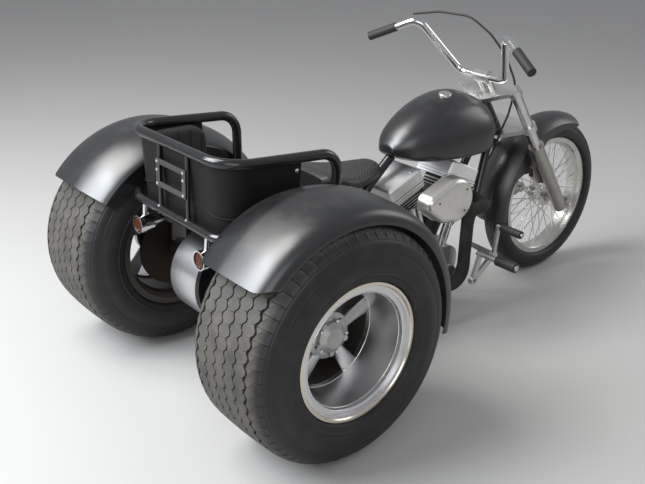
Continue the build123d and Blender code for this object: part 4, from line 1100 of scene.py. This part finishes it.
def seat():
    """The saddle with its tooled top and the seam between the top panel and the band."""
    mesh = stuffed("saddle", seat_form(), 0.0045, lambda point: 1.0 if point.z < 0.625 else 0.55, 2.5)
    edge_y = [y + AXLE_Y for y in (0.30, 0.35, 0.39, 0.44, 0.50, 0.56, 0.614)]
    edge_x = [0.098, 0.130, 0.135, 0.125, 0.103, 0.077, 0.044]
    tops = [max(0.0, vertex.normal.z - 0.75) / 0.25 for vertex in mesh.vertices]
    for vertex, top in zip(mesh.vertices, tops):
        x, y, z = vertex.co
        half = float(np.interp(y, edge_y, edge_x))
        ends = ramp(0.600 + AXLE_Y - y, 0.008) * ramp(y - 0.322 - AXLE_Y, 0.008)
        seam = math.exp(-((abs(x) - (half - 0.018)) / 0.0022) ** 2) * ends
        vertex.co.z = z - top * 0.0020 * seam
    made = place_in_scene("saddle", mesh, tooled_leather())
    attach(made, "frame")
    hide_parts("seat")


seat()


# Box cushions
# Foam under black leather, cut to the box: a seat pad quilted in squares, and a padded wall sewn in upright
# channels, both pushed in and held by their own spring.

WALL_LOW = 0.674
WALL_HIGH = 0.815
WALL_STEPS = 64


def leather():
    """Black leather with a fine cell grain and a dull sheen."""
    place, link = new_material("black_leather")
    cloud = place.noise(16, 4, 0.6)
    return link(
        Base_Color=cloud.mix((0.010, 0.0095, 0.009, 1), (0.026, 0.024, 0.022, 1)),
        Roughness=0.38 + cloud * 0.18,
        Normal=bump(place.grain(520.0), 0.00025),
    )


def pad(name, rings, seams, depth, material):
    """One stuffed pad, pressed in along its seams."""
    mesh = stuffed(name, rings, 0.006, lambda point: 1.0 if seams(point) > 0.5 else 0.4, 3.0)
    normals = [vertex.normal.copy() for vertex in mesh.vertices]
    for vertex, normal in zip(mesh.vertices, normals):
        vertex.co -= normal * depth * seams(vertex.co)
    made = place_in_scene(name, mesh, material)
    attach(made, "frame")
    return made


def stripe(distance, spacing, offset):
    """The distance to the nearest of many evenly spaced seams."""
    return abs((distance / spacing + offset) % 1 - 0.5) * spacing


def channels(point):
    """The upright seams of the wall pad, from 0 to 1."""
    along = math.atan2(point.x, -(point.y - AXLE_Y - 0.02)) * 0.24
    room = ramp(point.z - 0.684, 0.006) * ramp(0.800 - point.z, 0.006)
    return math.exp(-(stripe(along, 0.045, 0.5) / 0.0035) ** 2) * room


def squares(point):
    """The crossed seams of the seat pad, from 0 to 1."""
    near = min(stripe(point.x, 0.08, 0.5), stripe(point.y - AXLE_Y, 0.08, 0.25))
    return math.exp(-(near / 0.004) ** 2) * ramp(point.z - 0.655, 0.006)


def box_cushions():
    """The wall pad and the seat pad in the box."""
    material = leather()
    rings = []
    for k in range(WALL_STEPS + 1):
        end = min(k, WALL_STEPS - k)
        top = WALL_HIGH - 0.030 * max(0.0, 1 - end / 4.0) ** 2
        rings.append([box_wall_point(k / WALL_STEPS, inset, z) for inset, z in (
            (0.006, WALL_LOW), (0.030, WALL_LOW), (0.035, WALL_LOW + 0.010), (0.035, top - 0.016),
            (0.030, top - 0.004), (0.022, top), (0.012, top - 0.001), (0.0065, top - 0.008))])
    wall = pad("box_wall_pad", rings, channels, 0.004, material)
    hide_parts("box_cushions")
    plan = [(-0.205, 0.058), (-0.205, -0.085), (-0.150, -0.142), (0.150, -0.142), (0.205, -0.085),
            (0.205, 0.058)]
    rings = []
    for inset, z in ((0.004, 0.606), (0, 0.612), (0, 0.650), (0.005, 0.662), (0.016, 0.666)):
        rings.append([(x * (1 - inset / 0.2), (y + 0.04) * (1 - inset / 0.1) - 0.04 + AXLE_Y, z)
                      for x, y in plan])
    pad("box_seat_pad", rings, squares, 0.005, material)


box_cushions()


# Floor and sky
# A studio floor of pale matt paint without joints, which carries the shadows, and the even light of a
# white room round it.

FLOOR_COLOUR = (0.45, 0.445, 0.435, 1)
FLOOR_PATCH = (0.54, 0.53, 0.515, 1)
FLOOR_HALF = 30
SKY_COLOUR = (0.86, 0.88, 0.92, 1)
SKY_STRENGTH = 0.45


def floor():
    """The pale floor."""
    corners = [(x * FLOOR_HALF, y * FLOOR_HALF, 0) for x, y in ((-1, -1), (1, -1), (1, 1), (-1, 1))]
    mesh = bpy.data.meshes.new("floor")
    mesh.from_pydata(corners, [], [(0, 1, 2, 3)])
    place, link = new_material("floor_paint", Roughness=0.7)
    material = link(Base_Color=(place.noise(6, 3) * 0.05).mix(FLOOR_COLOUR, FLOOR_PATCH))
    place_in_scene("floor", mesh, material)


def sky():
    """The even light of the room."""
    world = bpy.data.worlds.new("room")
    world.use_nodes = True
    inputs = world.node_tree.nodes["Background"].inputs
    inputs["Color"].default_value = SKY_COLOUR
    inputs["Strength"].default_value = SKY_STRENGTH
    bpy.context.scene.world = world


floor()
sky()
